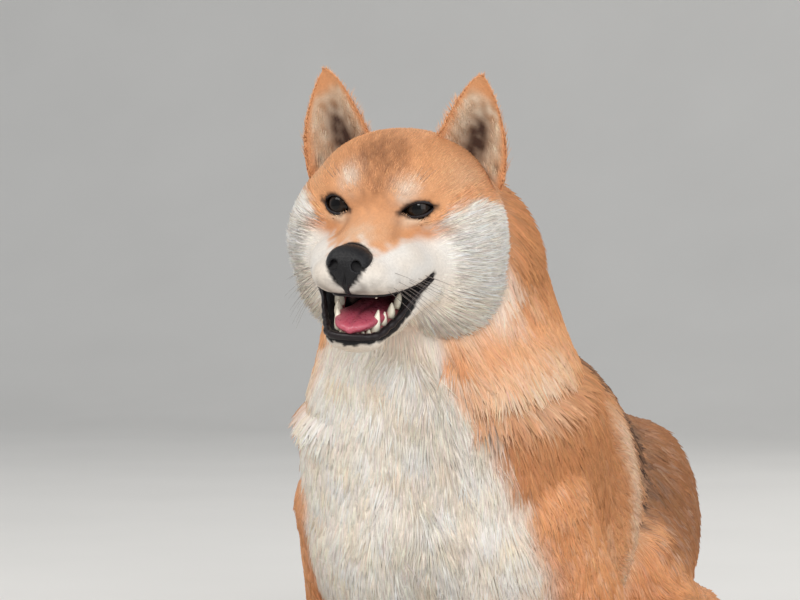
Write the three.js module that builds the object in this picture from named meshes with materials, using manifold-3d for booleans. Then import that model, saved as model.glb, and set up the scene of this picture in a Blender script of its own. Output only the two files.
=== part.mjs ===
// A shiba inu lying with its head raised, life size, modelled to the outer surface of its coat.
// Millimetres, +Z up. The dog faces -Y, its left side is +X, and the floor is the plane z = 0.
import * as THREE from "three";
import { mergeVertices } from "three/addons/utils/BufferGeometryUtils.js";
import Module from "manifold-3d";

const wasm = await Module();
wasm.setup();

// Driving sizes
const GAP = 0.3; // what touching nodes keep between them
const FACET_TOLERANCE = 0.12;
const CHEST_HALF_WIDTH = 92;
const NECK_RADIUS = 96;
const HEAD_PLACE = [0, -165, 332]; // the middle of the skull
const HEAD_TURN_DEG = { pitch: 4, yaw: 3, roll: 3.5 };
const EYE_RADIUS = 12.5;
const EYE_PLACE = [24.8, -31, 3]; // of the left eye, in the head's frame
const EYE_TURN_DEG = 16; // how far each eye looks outwards
const LEFT_RIGHT = { left: 1, right: -1 };

const deg = THREE.MathUtils.degToRad;
const vec = (p) => new THREE.Vector3(...p);
const mirrored = (p, side) => [p[0] * side, p[1], p[2]];

// Fields. A mass gives the distance from a point to its surface, negative inside. A field is a list of
// masses, each blended smoothly into those before it over its own distance.
const ball = (centre, radii, blend = 20, turnDeg = [0, 0, 0]) => {
  const c = vec(centre);
  const r = vec(radii);
  const back = new THREE.Quaternion().setFromEuler(new THREE.Euler(...turnDeg.map(deg))).invert();
  const q = new THREE.Vector3();
  const distance = (p) => {
    q.copy(p).sub(c).applyQuaternion(back).divide(r);
    const near = q.length();
    const slope = q.divide(r).length();
    return slope > 0 ? (near * (near - 1)) / slope : -Math.min(r.x, r.y, r.z);
  };
  return { distance, blend };
};

const limb = (from, to, fromRadius, toRadius, blend = 20) => {
  const a = vec(from);
  const axis = vec(to).sub(a);
  const length2 = axis.lengthSq();
  const q = new THREE.Vector3();
  const distance = (p) => {
    q.copy(p).sub(a);
    const along = THREE.MathUtils.clamp(q.dot(axis) / length2, 0, 1);
    return q.addScaledVector(axis, -along).length() - THREE.MathUtils.lerp(fromRadius, toRadius, along);
  };
  return { distance, blend };
};

const fieldOf = (masses) => (p) => {
  let d = Infinity;
  for (const { distance, blend } of masses) {
    const e = distance(p);
    const h = Math.max(blend - Math.abs(d - e), 0) / blend;
    d = Math.min(d, e) - (h * h * blend) / 4;
  }
  return d;
};

// A pair of masses is stated on the left and read on both sides.
const bothSides = (field) => {
  const q = new THREE.Vector3();
  return (p) => field(q.set(Math.abs(p.x), p.y, p.z));
};

// Solids
const solid = (geometry) => {
  const bare = new THREE.BufferGeometry();
  bare.setAttribute("position", geometry.getAttribute("position"));
  bare.setIndex(geometry.index);
  const merged = mergeVertices(bare, 1e-4);
  return new wasm.Manifold(
    new wasm.Mesh({
      numProp: 3,
      vertProperties: new Float32Array(merged.attributes.position.array),
      triVerts: new Uint32Array(merged.index.array),
    }),
  );
};

// Walks from a point inside a field to where it leaves it.
const STEP_LEAST = 0.4;
const leaves = (from, way, field) => {
  const p = new THREE.Vector3();
  let inside = 0;
  let t = 0;
  for (let n = 0; n < 600; n++) {
    const d = field(p.copy(from).addScaledVector(way, t));
    if (d > 0) break;
    inside = t;
    t += Math.max(-d * 0.6, STEP_LEAST);
  }
  let outside = t;
  for (let n = 0; n < 14; n++) {
    const middle = (inside + outside) / 2;
    if (field(p.copy(from).addScaledVector(way, middle)) > 0) outside = middle;
    else inside = middle;
  }
  return from.clone().addScaledVector(way, (inside + outside) / 2);
};

// Rows of points to a closed skin: a pole, rings of the same number of points, a pole.
const skin = (firstPole, rings, lastPole) => {
  const sides = rings[0].length;
  const points = [firstPole, ...rings.flat(), lastPole];
  const at = (ring, side) => 1 + ring * sides + (side % sides);
  const faces = [];
  for (let s = 0; s < sides; s++) {
    faces.push(0, at(0, s + 1), at(0, s));
    for (let r = 0; r + 1 < rings.length; r++) {
      faces.push(at(r, s), at(r, s + 1), at(r + 1, s + 1));
      faces.push(at(r, s), at(r + 1, s + 1), at(r + 1, s));
    }
    faces.push(points.length - 1, at(rings.length - 1, s), at(rings.length - 1, s + 1));
  }
  const geometry = new THREE.BufferGeometry().setFromPoints(points);
  geometry.setIndex(faces);
  const made = solid(geometry);
  if (made.volume() > 0) return made;
  const turned = [];
  for (let i = 0; i < faces.length; i += 3) turned.push(faces[i], faces[i + 2], faces[i + 1]);
  geometry.setIndex(turned);
  return solid(geometry);
};

// The skin of a field, found by looking outwards from a line inside it, with a fan of rays at both ends.
const shell = (line, field, { rings, fan, sides, grow = 0 }) => {
  const grown = grow ? (p) => field(p) - grow : field;
  const rows = [];
  const row = (u, tilt) => {
    const from = line.getPoint(u);
    const ahead = line.getTangent(u);
    const up = Math.abs(ahead.z) > 0.9 ? new THREE.Vector3(0, 1, 0) : new THREE.Vector3(0, 0, 1);
    const side = new THREE.Vector3().crossVectors(ahead, up).normalize();
    const top = new THREE.Vector3().crossVectors(side, ahead);
    const ring = [];
    for (let s = 0; s < sides; s++) {
      const turn = (2 * Math.PI * s) / sides;
      const way = new THREE.Vector3()
        .addScaledVector(top, Math.cos(turn) * Math.cos(tilt))
        .addScaledVector(side, Math.sin(turn) * Math.cos(tilt))
        .addScaledVector(ahead, Math.sin(tilt));
      ring.push(leaves(from, way, grown));
    }
    return ring;
  };
  for (let i = 1; i < fan; i++) rows.push(row(0, -(Math.PI / 2) * (1 - i / fan)));
  for (let i = 0; i <= rings; i++) rows.push(row(i / rings, 0));
  for (let i = 1; i < fan; i++) rows.push(row(1, (Math.PI / 2) * (i / fan)));
  const first = leaves(line.getPoint(0), line.getTangent(0).negate(), grown);
  const last = leaves(line.getPoint(1), line.getTangent(1), grown);
  return skin(first, rows, last);
};

const straight = (from, to) => new THREE.LineCurve3(vec(from), vec(to));
const curved = (points) => new THREE.CatmullRomCurve3(points.map(vec), false, "centripetal");
const join = (...solids) => solids.reduce((a, b) => a.add(b));

// A node keeps its largest closed surface.
const largest = (made) => {
  const pieces = made.decompose();
  return pieces.sort((a, b) => b.volume() - a.volume())[0];
};

// Torso and neck
const bodyField = bothSides(
  fieldOf([
    ball([0, -10, 116], [CHEST_HALF_WIDTH, 150, 119], 30), // ribs
    ball([0, -112, 118], [76, 66, 100], 40), // forechest
    ball([0, -102, 186], [88, 68, 70], 30), // root of the neck
    ball([56, -58, 128], [44, 76, 88], 30), // shoulder
    ball([0, 60, 122], [93, 130, 126], 40), // loin and belly
    ball([54, 162, 104], [46, 90, 82], 30), // hip
    ball([0, 210, 98], [72, 66, 80], 30), // rump
    limb([0, -58, 190], [0, -104, 290], NECK_RADIUS, 79, 40), // neck
  ]),
);
const BODY_LINE = curved([
  [0, 225, 100],
  [0, 120, 112],
  [0, 20, 122],
  [0, -50, 140],
  [0, -84, 190],
  [0, -108, 285],
]);

// Head, in its own frame
const headMasses = [
  ball([0, 12, 5], [62, 62, 50], 20), // skull
  ball([0, -13, 14], [45, 35, 31], 16), // forehead
  ball([24, -27, 17], [17, 13, 10], 10), // brow
  ball([42, 2, -20], [35, 42, 40], 18), // cheek
  ball([32, -26, -40], [15, 24, 22], 14), // corner of the mouth
  ball([36, 10, -50], [34, 40, 36], 18), // ruff of the cheek
  ball([0, 12, -52], [50, 46, 34], 18), // throat
  limb([0, -36, -20], [0, -82, -35], 26.5, 18, 11), // bridge of the muzzle
  ball([13, -74, -39], [17, 23, 13], 10), // whisker pad
  ball([23, -50, -33], [18, 26, 17], 12), // upper lip
];
const headField = bothSides(fieldOf(headMasses));
const HEAD_LINE = straight([0, -66, -30], [0, 20, -10]);

// Lips
const jawField = bothSides(
  fieldOf([
    limb([29, -36, -50], [12, -74, -77], 12, 8, 8), // side of the jaw
    ball([0, -76, -79], [17, 11, 8.5], 8), // front lip
    limb([0, -68, -79], [0, -30, -66], 9, 20, 12), // chin
  ]),
);
const JAW_LINE = straight([0, -74, -80], [0, -34, -70]);

// The open mouth: a hollow between the jaws, and the gape between the lips that leads to it.
const GAPE = [
  [-44, -37], [-53, -43], [-64, -49], [-76, -51.5], [-90, -51], [-120, -46],
  [-120, -78], [-88, -73.5], [-78, -71], [-66, -62.5], [-54, -51.5],
]; // along Y and Z, from the corner of the mouth forwards along the upper lip
const MOUTH_HALF_WIDTH = 23;
const mouthRoom = () => {
  const outline = new THREE.Shape(GAPE.map(([y, z]) => new THREE.Vector2(y, z)));
  const across = new THREE.Matrix4().makeBasis(
    new THREE.Vector3(0, 1, 0),
    new THREE.Vector3(0, 0, 1),
    new THREE.Vector3(1, 0, 0),
  );
  const gape = new THREE.ExtrudeGeometry(outline, { depth: 120, bevelEnabled: false })
    .translate(0, 0, -60)
    .applyMatrix4(across);
  const hollow = new THREE.SphereGeometry(1, 12, 8)
    .scale(MOUTH_HALF_WIDTH, 40, 16)
    .rotateX(deg(16))
    .translate(0, -60, -59);
  return solid(gape).add(solid(hollow));
};

const headTurn = new THREE.Euler(
  deg(HEAD_TURN_DEG.pitch),
  deg(HEAD_TURN_DEG.roll),
  deg(HEAD_TURN_DEG.yaw),
  "ZYX",
);
const headGroup = new THREE.Group();
headGroup.position.set(...HEAD_PLACE);
headGroup.rotation.copy(headTurn);
headGroup.updateMatrixWorld(true);
const toBody = (made) => made.transform(headGroup.matrixWorld.elements);

const HEAD_MESH = { rings: 12, fan: 6, sides: 24 };
const JAW_MESH = { rings: 4, fan: 4, sides: 14 };

// An almond-shaped opening, seen along the eye's axis.
const EYE_OPENING = { halfWidth: 11.3, slantDeg: 12 };
const LIDS = { left: { up: 5, down: 4.8 }, right: { up: 6.6, down: 5.6 } }; // the left eye squints
const almond = (side, turn, spread = 0) => {
  const { up, down } = side > 0 ? LIDS.left : LIDS.right;
  const x = Math.cos(turn) * (EYE_OPENING.halfWidth + spread);
  const lid = Math.sin(turn) > 0 ? up : down;
  const y = Math.sin(turn) * (lid + spread) * (1 - 0.25 * Math.cos(turn) ** 2);
  return [x, y];
};
const eyeFrame = (side) =>
  new THREE.Matrix4()
    .makeTranslation(...mirrored(EYE_PLACE, side))
    .multiply(new THREE.Matrix4().makeRotationZ(deg(EYE_TURN_DEG * side)))
    .multiply(new THREE.Matrix4().makeRotationY(deg(-EYE_OPENING.slantDeg * side)));

const eyeHole = (side) => {
  const outline = new THREE.Shape();
  const steps = 12;
  for (let i = 0; i < steps; i++) {
    const [x, z] = almond(side, (2 * Math.PI * i) / steps);
    if (i) outline.lineTo(x, z);
    else outline.moveTo(x, z);
  }
  const cone = new THREE.ExtrudeGeometry(outline, { depth: 30, bevelEnabled: false, steps: 1 });
  return solid(cone.rotateX(Math.PI / 2).applyMatrix4(eyeFrame(side)));
};

const lids = (side) => {
  const reach = EYE_RADIUS + 1.4;
  const steps = 20;
  const points = [];
  for (let i = 0; i < steps; i++) {
    const [x, z] = almond(side, (2 * Math.PI * i) / steps, 0.8);
    const depth = Math.sqrt(Math.max(reach * reach - x * x * 0.8 - z * z, 9));
    points.push(new THREE.Vector3(x, -depth, z).applyMatrix4(eyeFrame(side)));
  }
  const ring = new THREE.CatmullRomCurve3(points, true);
  return solid(new THREE.TubeGeometry(ring, 12, 1.9, 4, true));
};

const eyeball = (side, grow = 0) =>
  solid(
    new THREE.SphereGeometry(EYE_RADIUS + grow, 12, 8).translate(...mirrored(EYE_PLACE, side)),
  );

// Ear: a cupped sheet between its inner and outer edge, thick at the root.
const EAR = {
  innerRoot: [20, 6, 44],
  outerRoot: [68, 12, 14],
  tip: [55.5, 0, 90],
  cup: 15,
  thick: 7,
  roundTip: 14,
};
const earShell = (side, grow = 0) => {
  const inner = vec(EAR.innerRoot);
  const outer = vec(EAR.outerRoot);
  const tip = vec(EAR.tip);
  const ahead = new THREE.Vector3()
    .crossVectors(outer.clone().sub(inner), tip.clone().sub(inner))
    .normalize();
  if (ahead.y > 0) ahead.negate();
  const heights = [0, 0.15, 0.3, 0.45, 0.6, 0.74, 0.85, 0.93, 0.975];
  const across = 6;
  const edge = (root, t, bulge, towards) => {
    const p = root.clone().lerp(tip, t);
    const wide = EAR.roundTip * Math.sqrt(1 - t) * t;
    return p.addScaledVector(towards, bulge * Math.sin(Math.PI * t) + wide);
  };
  const outwards = outer.clone().sub(inner).normalize();
  const ringAt = (t) => {
    const a = edge(inner, t, -2, outwards.clone().negate());
    const b = edge(outer, t, 5, outwards);
    const half = a.distanceTo(b) / 2;
    const middle = a.clone().add(b).multiplyScalar(0.5);
    const cup = EAR.cup * (1 - t) ** 0.7;
    const thick = THREE.MathUtils.lerp(EAR.thick, 4, t) + 2 * grow;
    const front = [];
    const rear = [];
    for (let i = 0; i <= across; i++) {
      const s = -1 + (2 * i) / across;
      const depth = cup * (1 - s * s);
      const wall = thick * Math.sqrt(Math.max(1 - s * s * 0.75, 0.2));
      const p = middle.clone().addScaledVector(outwards, s * (half + grow));
      front.push(p.clone().addScaledVector(ahead, -depth + wall / 2));
      rear.unshift(p.clone().addScaledVector(ahead, -depth - wall / 2));
    }
    return [...front, ...rear].map((p) => p.set(p.x * side, p.y, p.z));
  };
  const rings = heights.map(ringAt);
  const foot = new THREE.Vector3();
  rings[0].forEach((p) => foot.add(p));
  foot.divideScalar(rings[0].length);
  const top = new THREE.Vector3(tip.x * side, tip.y, tip.z + grow);
  return skin(foot, rings, top);
};

// Nose
const noseField = bothSides(
  fieldOf([
    ball([0, -88, -30.5], [12, 12, 12], 8),
    ball([8.5, -88, -32.5], [7, 10.5, 9.5], 6), // wing of the nostril
    limb([0, -93, -39], [0, -90, -47], 5, 3, 6), // groove to the lip
  ]),
);
const nostril = (side) =>
  solid(
    new THREE.SphereGeometry(1, 10, 8)
      .scale(3.6, 6, 3)
      .rotateY(deg(20 * side))
      .translate(7.8 * side, -99, -29.5),
  );

// Tongue
const tongueField = fieldOf([
  limb([0, -20, -59], [0, -64, -68], 14, 15, 10),
  limb([0, -64, -68], [0, -76, -70.5], 15, 12.5, 10),
]);
const flatTongue = (p) => {
  const q = p.clone();
  const middle = -68 + (q.y + 64) * 0.205;
  q.z = middle + (q.z - middle) * 2.6;
  return tongueField(q) / 2.6;
};
const TONGUE_LINE = straight([0, -74, -70], [0, -24, -60]);
const tongue = (grow = 0) => shell(TONGUE_LINE, flatTongue, { rings: 5, fan: 3, sides: 12, grow });

// Teeth: tapering pegs standing on a gum that follows the jaw.
const peg = (place, lean, height, width) => {
  const cone = new THREE.ConeGeometry(width / 2, height, 4, 1).translate(0, height / 2, 0);
  const turn = new THREE.Quaternion().setFromUnitVectors(
    new THREE.Vector3(0, 1, 0),
    vec(lean).normalize(),
  );
  return solid(cone.applyQuaternion(turn).translate(...place));
};
const UPPER_TEETH = {
  gum: [[24, -36, -42], [19, -60, -45], [12, -78, -47], [0, -84, -47.5]],
  pegs: [
    { at: [14, -77, -46], lean: [0.12, -0.12, -1], height: 14, width: 6.5 }, // canine
    { at: [3, -84, -46], lean: [0, -0.15, -1], height: 6, width: 4 },
    { at: [8.5, -82, -46], lean: [0.1, -0.15, -1], height: 7, width: 4 },
    { at: [19, -62, -44], lean: [0, 0, -1], height: 8, width: 7 },
    { at: [22, -48, -43], lean: [0, 0, -1], height: 9, width: 8 },
  ],
};
const LOWER_TEETH = {
  gum: [[22, -40, -62], [17, -60, -70], [11, -72, -75], [0, -77, -76]],
  pegs: [
    { at: [12, -71, -75], lean: [0.15, -0.2, 1], height: 15, width: 6 }, // canine
    { at: [3, -77, -75], lean: [0, -0.2, 1], height: 7, width: 3.6 },
    { at: [8, -75, -75], lean: [0, -0.2, 1], height: 7, width: 3.6 },
    { at: [17, -60, -69], lean: [0, 0, 1], height: 9, width: 6 },
    { at: [20, -49, -65], lean: [0, 0, 1], height: 10, width: 7 },
  ],
};
const GUM_RADIUS = 2.8;
const teeth = ({ gum, pegs }, grow = 0) => {
  const line = curved([...gum, ...gum.slice(0, -1).reverse().map((p) => mirrored(p, -1))]);
  const steps = 8;
  const radius = GUM_RADIUS + grow;
  const frames = line.computeFrenetFrames(steps);
  const rings = frames.normals.map((n, i) => {
    const ring = [];
    for (let s = 0; s < 4; s++) {
      const turn = (Math.PI * s) / 2;
      ring.push(
        line
          .getPointAt(i / steps)
          .addScaledVector(n, radius * Math.cos(turn))
          .addScaledVector(frames.binormals[i], radius * Math.sin(turn)),
      );
    }
    return ring;
  });
  const ends = [0, 1].map((u) =>
    line.getPointAt(u).addScaledVector(line.getTangentAt(u), (u ? 1 : -1) * radius),
  );
  let made = skin(ends[0], rings, ends[1]);
  for (const side of Object.values(LEFT_RIGHT)) {
    for (const { at, lean, height, width } of pegs) {
      made = made.add(peg(mirrored(at, side), mirrored(lean, side), height + grow, width + 2 * grow));
    }
  }
  return made;
};

// Legs
const foreParts = (side, grow = 0) => {
  const at = (p) => mirrored(p, side);
  const upper = fieldOf([limb(at([67, -90, 130]), at([87, -34, 50]), 39, 35)]);
  const lower = fieldOf([
    limb(at([86, -40, 31]), at([66, -172, 24]), 32, 22, 12),
    ball(at([64, -208, 19]), [25, 34, 21], 14),
  ]);
  return [
    shell(straight(at([70, -82, 120]), at([85, -42, 60])), upper, {
      rings: 3,
      fan: 3,
      sides: 12,
      grow,
    }).trimByPlane([side, 0, 0], 62 - grow),
    shell(straight(at([85, -44, 30]), at([64, -208, 20])), lower, { rings: 6, fan: 3, sides: 12, grow }),
  ];
};
const hindParts = (side, grow = 0) => {
  const at = (p) => mirrored(p, side);
  const thigh = fieldOf([
    ball(at([66, 158, 96]), [42, 86, 82], 20),
    ball(at([86, 105, 60]), [34, 46, 48], 30),
  ]);
  const shank = fieldOf([
    limb(at([94, 95, 44]), at([92, 218, 34]), 32, 19, 10),
    limb(at([98, 226, 22]), at([106, 150, 17]), 16, 17, 14),
    ball(at([108, 118, 17]), [23, 34, 18], 12),
  ]);
  return [
    shell(straight(at([72, 185, 108]), at([84, 112, 76])), thigh, {
      rings: 3,
      fan: 4,
      sides: 12,
      grow,
    }).trimByPlane([side, 0, 0], 54 - grow),
    shell(straight(at([97, 214, 26]), at([108, 112, 20])), shank, { rings: 5, fan: 3, sides: 12, grow }),
  ];
};

// Toes: four in front of each paw, each with its claw.
const CLAW_DROP = deg(72);
const toes = (side, front, spread, height) => {
  const made = [];
  for (let n = 0; n < 4; n++) {
    const across = (n - 1.5) * spread;
    const back = Math.abs(n - 1.5) > 1 ? 9 : 0;
    made.push(
      solid(
        new THREE.SphereGeometry(1, 7, 4)
          .scale(spread * 0.62, 19, height)
          .translate(front[0] * side + across, front[1] + back, front[2]),
      ),
      solid(
        new THREE.ConeGeometry(2.8, 15, 4)
          .rotateX(Math.PI - CLAW_DROP)
          .translate(front[0] * side + across, front[1] + back - 20, front[2] - 1),
      ),
    );
  }
  return made;
};

// Tail
const TAIL_ROUTE = [
  [-2, 236, 134],
  [-22, 266, 158],
  [-54, 270, 182],
  [-80, 242, 194],
  [-97, 204, 184],
  [-101, 172, 160],
];
const TAIL_RADII = [20, 25, 28, 28, 24, 16];
const tailField = fieldOf(
  TAIL_ROUTE.slice(1).map((p, i) => limb(TAIL_ROUTE[i], p, TAIL_RADII[i], TAIL_RADII[i + 1], 16)),
);
const tailCore = (grow = 0) =>
  shell(curved(TAIL_ROUTE), tailField, { rings: 8, fan: 3, sides: 9, grow });

// Locks of the longer coat
let seed = 7;
const chance = (low, high) => {
  seed = (seed * 16807) % 2147483647;
  return low + ((high - low) * seed) / 2147483647;
};

const LOCK_SINK = 6; // how deep a root stands in what it grows from
const LOCK_SECTIONS = [
  [0, 0.7],
  [0.38, 1],
  [0.74, 0.66],
]; // part of the length, part of the width
const outwardOf = (field, p) => {
  const step = 0.5;
  const at = (x, y, z) => field(new THREE.Vector3(p.x + x, p.y + y, p.z + z));
  return new THREE.Vector3(
    at(step, 0, 0) - at(-step, 0, 0),
    at(0, step, 0) - at(0, -step, 0),
    at(0, 0, step) - at(0, 0, -step),
  ).normalize();
};

// A flat tapering lock that lies along the coat's flow and lifts its tip off it.
const lock = (field, from, way, flow, { length, width, thick, lift }, grow) => {
  const root = leaves(from, way, field);
  const out = outwardOf(field, root);
  const along = flow.clone().addScaledVector(out, -flow.dot(out)).normalize();
  const across = new THREE.Vector3().crossVectors(along, out);
  const centre = (u) =>
    root
      .clone()
      .addScaledVector(out, -LOCK_SINK + (LOCK_SINK + lift) * u)
      .addScaledVector(along, length * u);
  const rings = LOCK_SECTIONS.map(([u, wide]) => {
    const c = centre(u);
    const half = (width * wide) / 2 + grow;
    const deep = (thick * wide) / 2 + grow;
    return [
      c.clone().addScaledVector(across, half),
      c.clone().addScaledVector(out, deep),
      c.clone().addScaledVector(across, -half),
      c.clone().addScaledVector(out, -deep),
    ];
  });
  return skin(centre(-0.05), rings, centre(1).addScaledVector(along, grow));
};

const dress = (made, locks) => locks.reduce((a, b) => a.add(b), made);

// Tail: rows of locks along it, and a tuft at its tip.
const TAIL_ROWS = 5;
const TAIL_AROUND = 4;
const tailLocks = (grow = 0) => {
  seed = 11;
  const line = curved(TAIL_ROUTE);
  const made = [];
  for (let row = 0; row < TAIL_ROWS; row++) {
    const u = 0.16 + (0.84 * row) / TAIL_ROWS;
    const from = line.getPoint(u);
    const flow = line.getTangent(u);
    const side = new THREE.Vector3().crossVectors(flow, new THREE.Vector3(0, 0, 1)).normalize();
    for (let n = 0; n < TAIL_AROUND; n++) {
      const turn = (2 * Math.PI * (n + (row % 2) / 2 + chance(-0.12, 0.12))) / TAIL_AROUND;
      const way = side.clone().applyAxisAngle(flow, turn);
      const size = { length: chance(46, 58), width: 34, thick: 9, lift: chance(6, 11) };
      made.push(lock(tailField, from, way, flow, size, grow));
    }
  }
  return made;
};

// Ruff of the cheeks, in the head's frame.
const cheekLocks = (side, grow = 0) => {
  seed = 23;
  const made = [];
  for (let row = 0; row < 2; row++) {
    for (let n = 0; n < 4; n++) {
      const drop = deg(8 + 20 * n + 10 * row + chance(-3, 3));
      const from = new THREE.Vector3(0, 8 + 20 * row, -34);
      const way = new THREE.Vector3(Math.cos(drop) * side, -0.1, -Math.sin(drop)).normalize();
      const flow = new THREE.Vector3(0.3 * Math.cos(drop) * side, 0.75, -0.55);
      const size = { length: chance(26, 34), width: 19, thick: 6, lift: chance(1.5, 3.5) };
      made.push(lock(headField, from, way, flow, size, grow));
    }
  }
  return made;
};

// Bib and ruff of the neck, and the breeches behind the thighs.
const bodyLocks = () => {
  seed = 41;
  const made = [];
  for (let row = 0; row < 3; row++) {
    const height = 226 - 42 * row;
    const count = 5;
    for (let n = 0; n < count; n++) {
      const turn = deg(-75 + (150 * (n + (row % 2 ? 0.75 : 0.25))) / count + chance(-4, 4));
      const from = new THREE.Vector3(0, -70, height);
      const way = new THREE.Vector3(Math.sin(turn), -Math.cos(turn), 0);
      const flow = new THREE.Vector3(0.35 * Math.sin(turn), 0.2, -1);
      const size = { length: chance(44, 54), width: 28, thick: 8, lift: chance(1, 4) };
      made.push(lock(bodyField, from, way, flow, size, 0));
    }
  }
  for (let n = 0; n < 6; n++) {
    const turn = deg(-55 + 22 * n + chance(-4, 4));
    const from = new THREE.Vector3(0, 190, 100 - 26 * (n % 2));
    const way = new THREE.Vector3(Math.sin(turn), Math.cos(turn), 0);
    const flow = new THREE.Vector3(0, 0.25, -1);
    const size = { length: chance(36, 44), width: 28, thick: 8, lift: chance(2, 5) };
    made.push(lock(bodyField, from, way, flow, size, 0));
  }
  return made;
};

// Materials
const finish = (color, roughness) => new THREE.MeshStandardMaterial({ color, roughness, metalness: 0 });
const RED_COAT = finish(0xc8864a, 0.85);
const CREAM_COAT = finish(0xe6d9c6, 0.85);
const DARK_LEATHER = finish(0x1d1c20, 0.45);
const EYE_BROWN = finish(0x1a100a, 0.1);
const TONGUE_PINK = finish(0xc2566a, 0.4);
const TOOTH = finish(0xe9e2cf, 0.35);

// Assembly
const FLOOR = [0, 0, 1];
const aboveFloor = (made) => made.trimByPlane(FLOOR, 0);

const meshOf = (name, made, material) => {
  const { numProp, vertProperties, triVerts } = largest(made).simplify(FACET_TOLERANCE).getMesh();
  const points = new Float32Array((vertProperties.length / numProp) * 3);
  for (let i = 0; i < points.length / 3; i++) {
    points.set(vertProperties.subarray(i * numProp, i * numProp + 3), i * 3);
  }
  const geometry = new THREE.BufferGeometry();
  geometry.setAttribute("position", new THREE.BufferAttribute(points, 3));
  geometry.setIndex(new THREE.BufferAttribute(new Uint32Array(triVerts), 1));
  geometry.computeVertexNormals();
  const mesh = new THREE.Mesh(geometry, material);
  mesh.name = name;
  return mesh;
};

const shiba = new THREE.Group();
shiba.name = "shiba_inu";
shiba.add(headGroup);

const headShell = (grow) => shell(HEAD_LINE, headField, { ...HEAD_MESH, grow });
const jawShell = (grow) => shell(JAW_LINE, jawField, { ...JAW_MESH, grow });
const NOSE_LINE = straight([0, -93, -27], [0, -86, -27]);
const noseShell = (grow) => shell(NOSE_LINE, noseField, { rings: 1, fan: 4, sides: 14, grow });

const ruff = (grow) => [...cheekLocks(1, grow), ...cheekLocks(-1, grow)];
let head = dress(headShell(0), ruff(0));
let jaw = jawShell(0).subtract(mouthRoom());
head = head.subtract(mouthRoom()).subtract(jawShell(GAP));
head = head.subtract(noseShell(GAP)).subtract(tongue(GAP));
jaw = jaw.subtract(tongue(GAP)).subtract(teeth(LOWER_TEETH, GAP)).subtract(teeth(UPPER_TEETH, GAP));
for (const side of Object.values(LEFT_RIGHT)) {
  head = head.subtract(eyeHole(side)).add(lids(side)).subtract(eyeball(side, GAP));
}
const nose = noseShell(0).subtract(nostril(1)).subtract(nostril(-1));
headGroup.add(
  meshOf("head", head.subtract(teeth(UPPER_TEETH, GAP)), RED_COAT),
  meshOf("lower_jaw", jaw, CREAM_COAT),
  meshOf("nose", nose, DARK_LEATHER),
  meshOf("tongue", tongue().subtract(teeth(LOWER_TEETH, GAP)), TONGUE_PINK),
  meshOf("teeth_upper", teeth(UPPER_TEETH), TOOTH),
  meshOf("teeth_lower", teeth(LOWER_TEETH), TOOTH),
);
for (const [name, side] of Object.entries(LEFT_RIGHT)) {
  headGroup.add(
    meshOf("ear_" + name, earShell(side).subtract(headShell(GAP)), RED_COAT),
    meshOf("eye_" + name, eyeball(side), EYE_BROWN),
  );
}

const tailRoom = dress(tailCore(GAP), tailLocks(GAP));
let body = dress(shell(BODY_LINE, bodyField, { rings: 14, fan: 5, sides: 20 }), bodyLocks());
for (const [name, side] of Object.entries(LEFT_RIGHT)) {
  for (const part of [...foreParts(side, GAP), ...hindParts(side, GAP)]) body = body.subtract(part);
  const foreleg = join(...foreParts(side), ...toes(side, [64, -232, 15], 12.5, 15));
  const hindleg = join(...hindParts(side), ...toes(side, [108, 96, 13], 11, 13)).subtract(
    join(...foreParts(side, GAP)),
  );
  shiba.add(
    meshOf("foreleg_" + name, aboveFloor(foreleg), RED_COAT),
    meshOf("hindleg_" + name, aboveFloor(hindleg.subtract(tailRoom)), RED_COAT),
  );
}
const skull = join(dress(headShell(GAP), ruff(GAP)), jawShell(GAP));
body = aboveFloor(body.subtract(toBody(skull)).subtract(tailRoom));
const tail = dress(tailCore(), tailLocks());

// The neck leaves the torso along a slanting cut.
const NECK_CUT = { normal: new THREE.Vector3(0, -0.62, 0.78), offset: 232 };
const cut = NECK_CUT.normal.toArray();
const neck = body.trimByPlane(cut, NECK_CUT.offset + GAP / 2);
const torso = body.trimByPlane(cut.map((n) => -n), -(NECK_CUT.offset - GAP / 2));
shiba.add(
  meshOf("neck", neck, CREAM_COAT),
  meshOf("torso", torso, RED_COAT),
  meshOf("tail", tail, RED_COAT),
);

export default shiba;
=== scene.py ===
"""A shiba inu lying with its head raised, with its skin, coat, eyes, nose and open mouth.

Sizes are in millimetres until a mesh is made, and the dog faces -Y with its left side towards +X.
"""

import math

import bpy
import numpy as np
from mathutils import Euler, Matrix, Vector


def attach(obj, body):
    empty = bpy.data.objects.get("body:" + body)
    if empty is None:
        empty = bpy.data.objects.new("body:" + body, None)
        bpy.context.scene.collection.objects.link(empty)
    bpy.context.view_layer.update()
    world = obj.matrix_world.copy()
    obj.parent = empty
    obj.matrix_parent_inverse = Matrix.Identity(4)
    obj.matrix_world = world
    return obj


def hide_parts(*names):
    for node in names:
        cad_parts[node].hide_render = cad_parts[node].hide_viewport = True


bl_info = {
    "name": "Shiba inu",
    "version": (1, 0, 0),
    "blender": (4, 5, 0),
    "location": "View3D > Sidebar > Shiba",
    "description": "Builds a lying shiba inu with its coat",
    "category": "Add Mesh",
}

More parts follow.
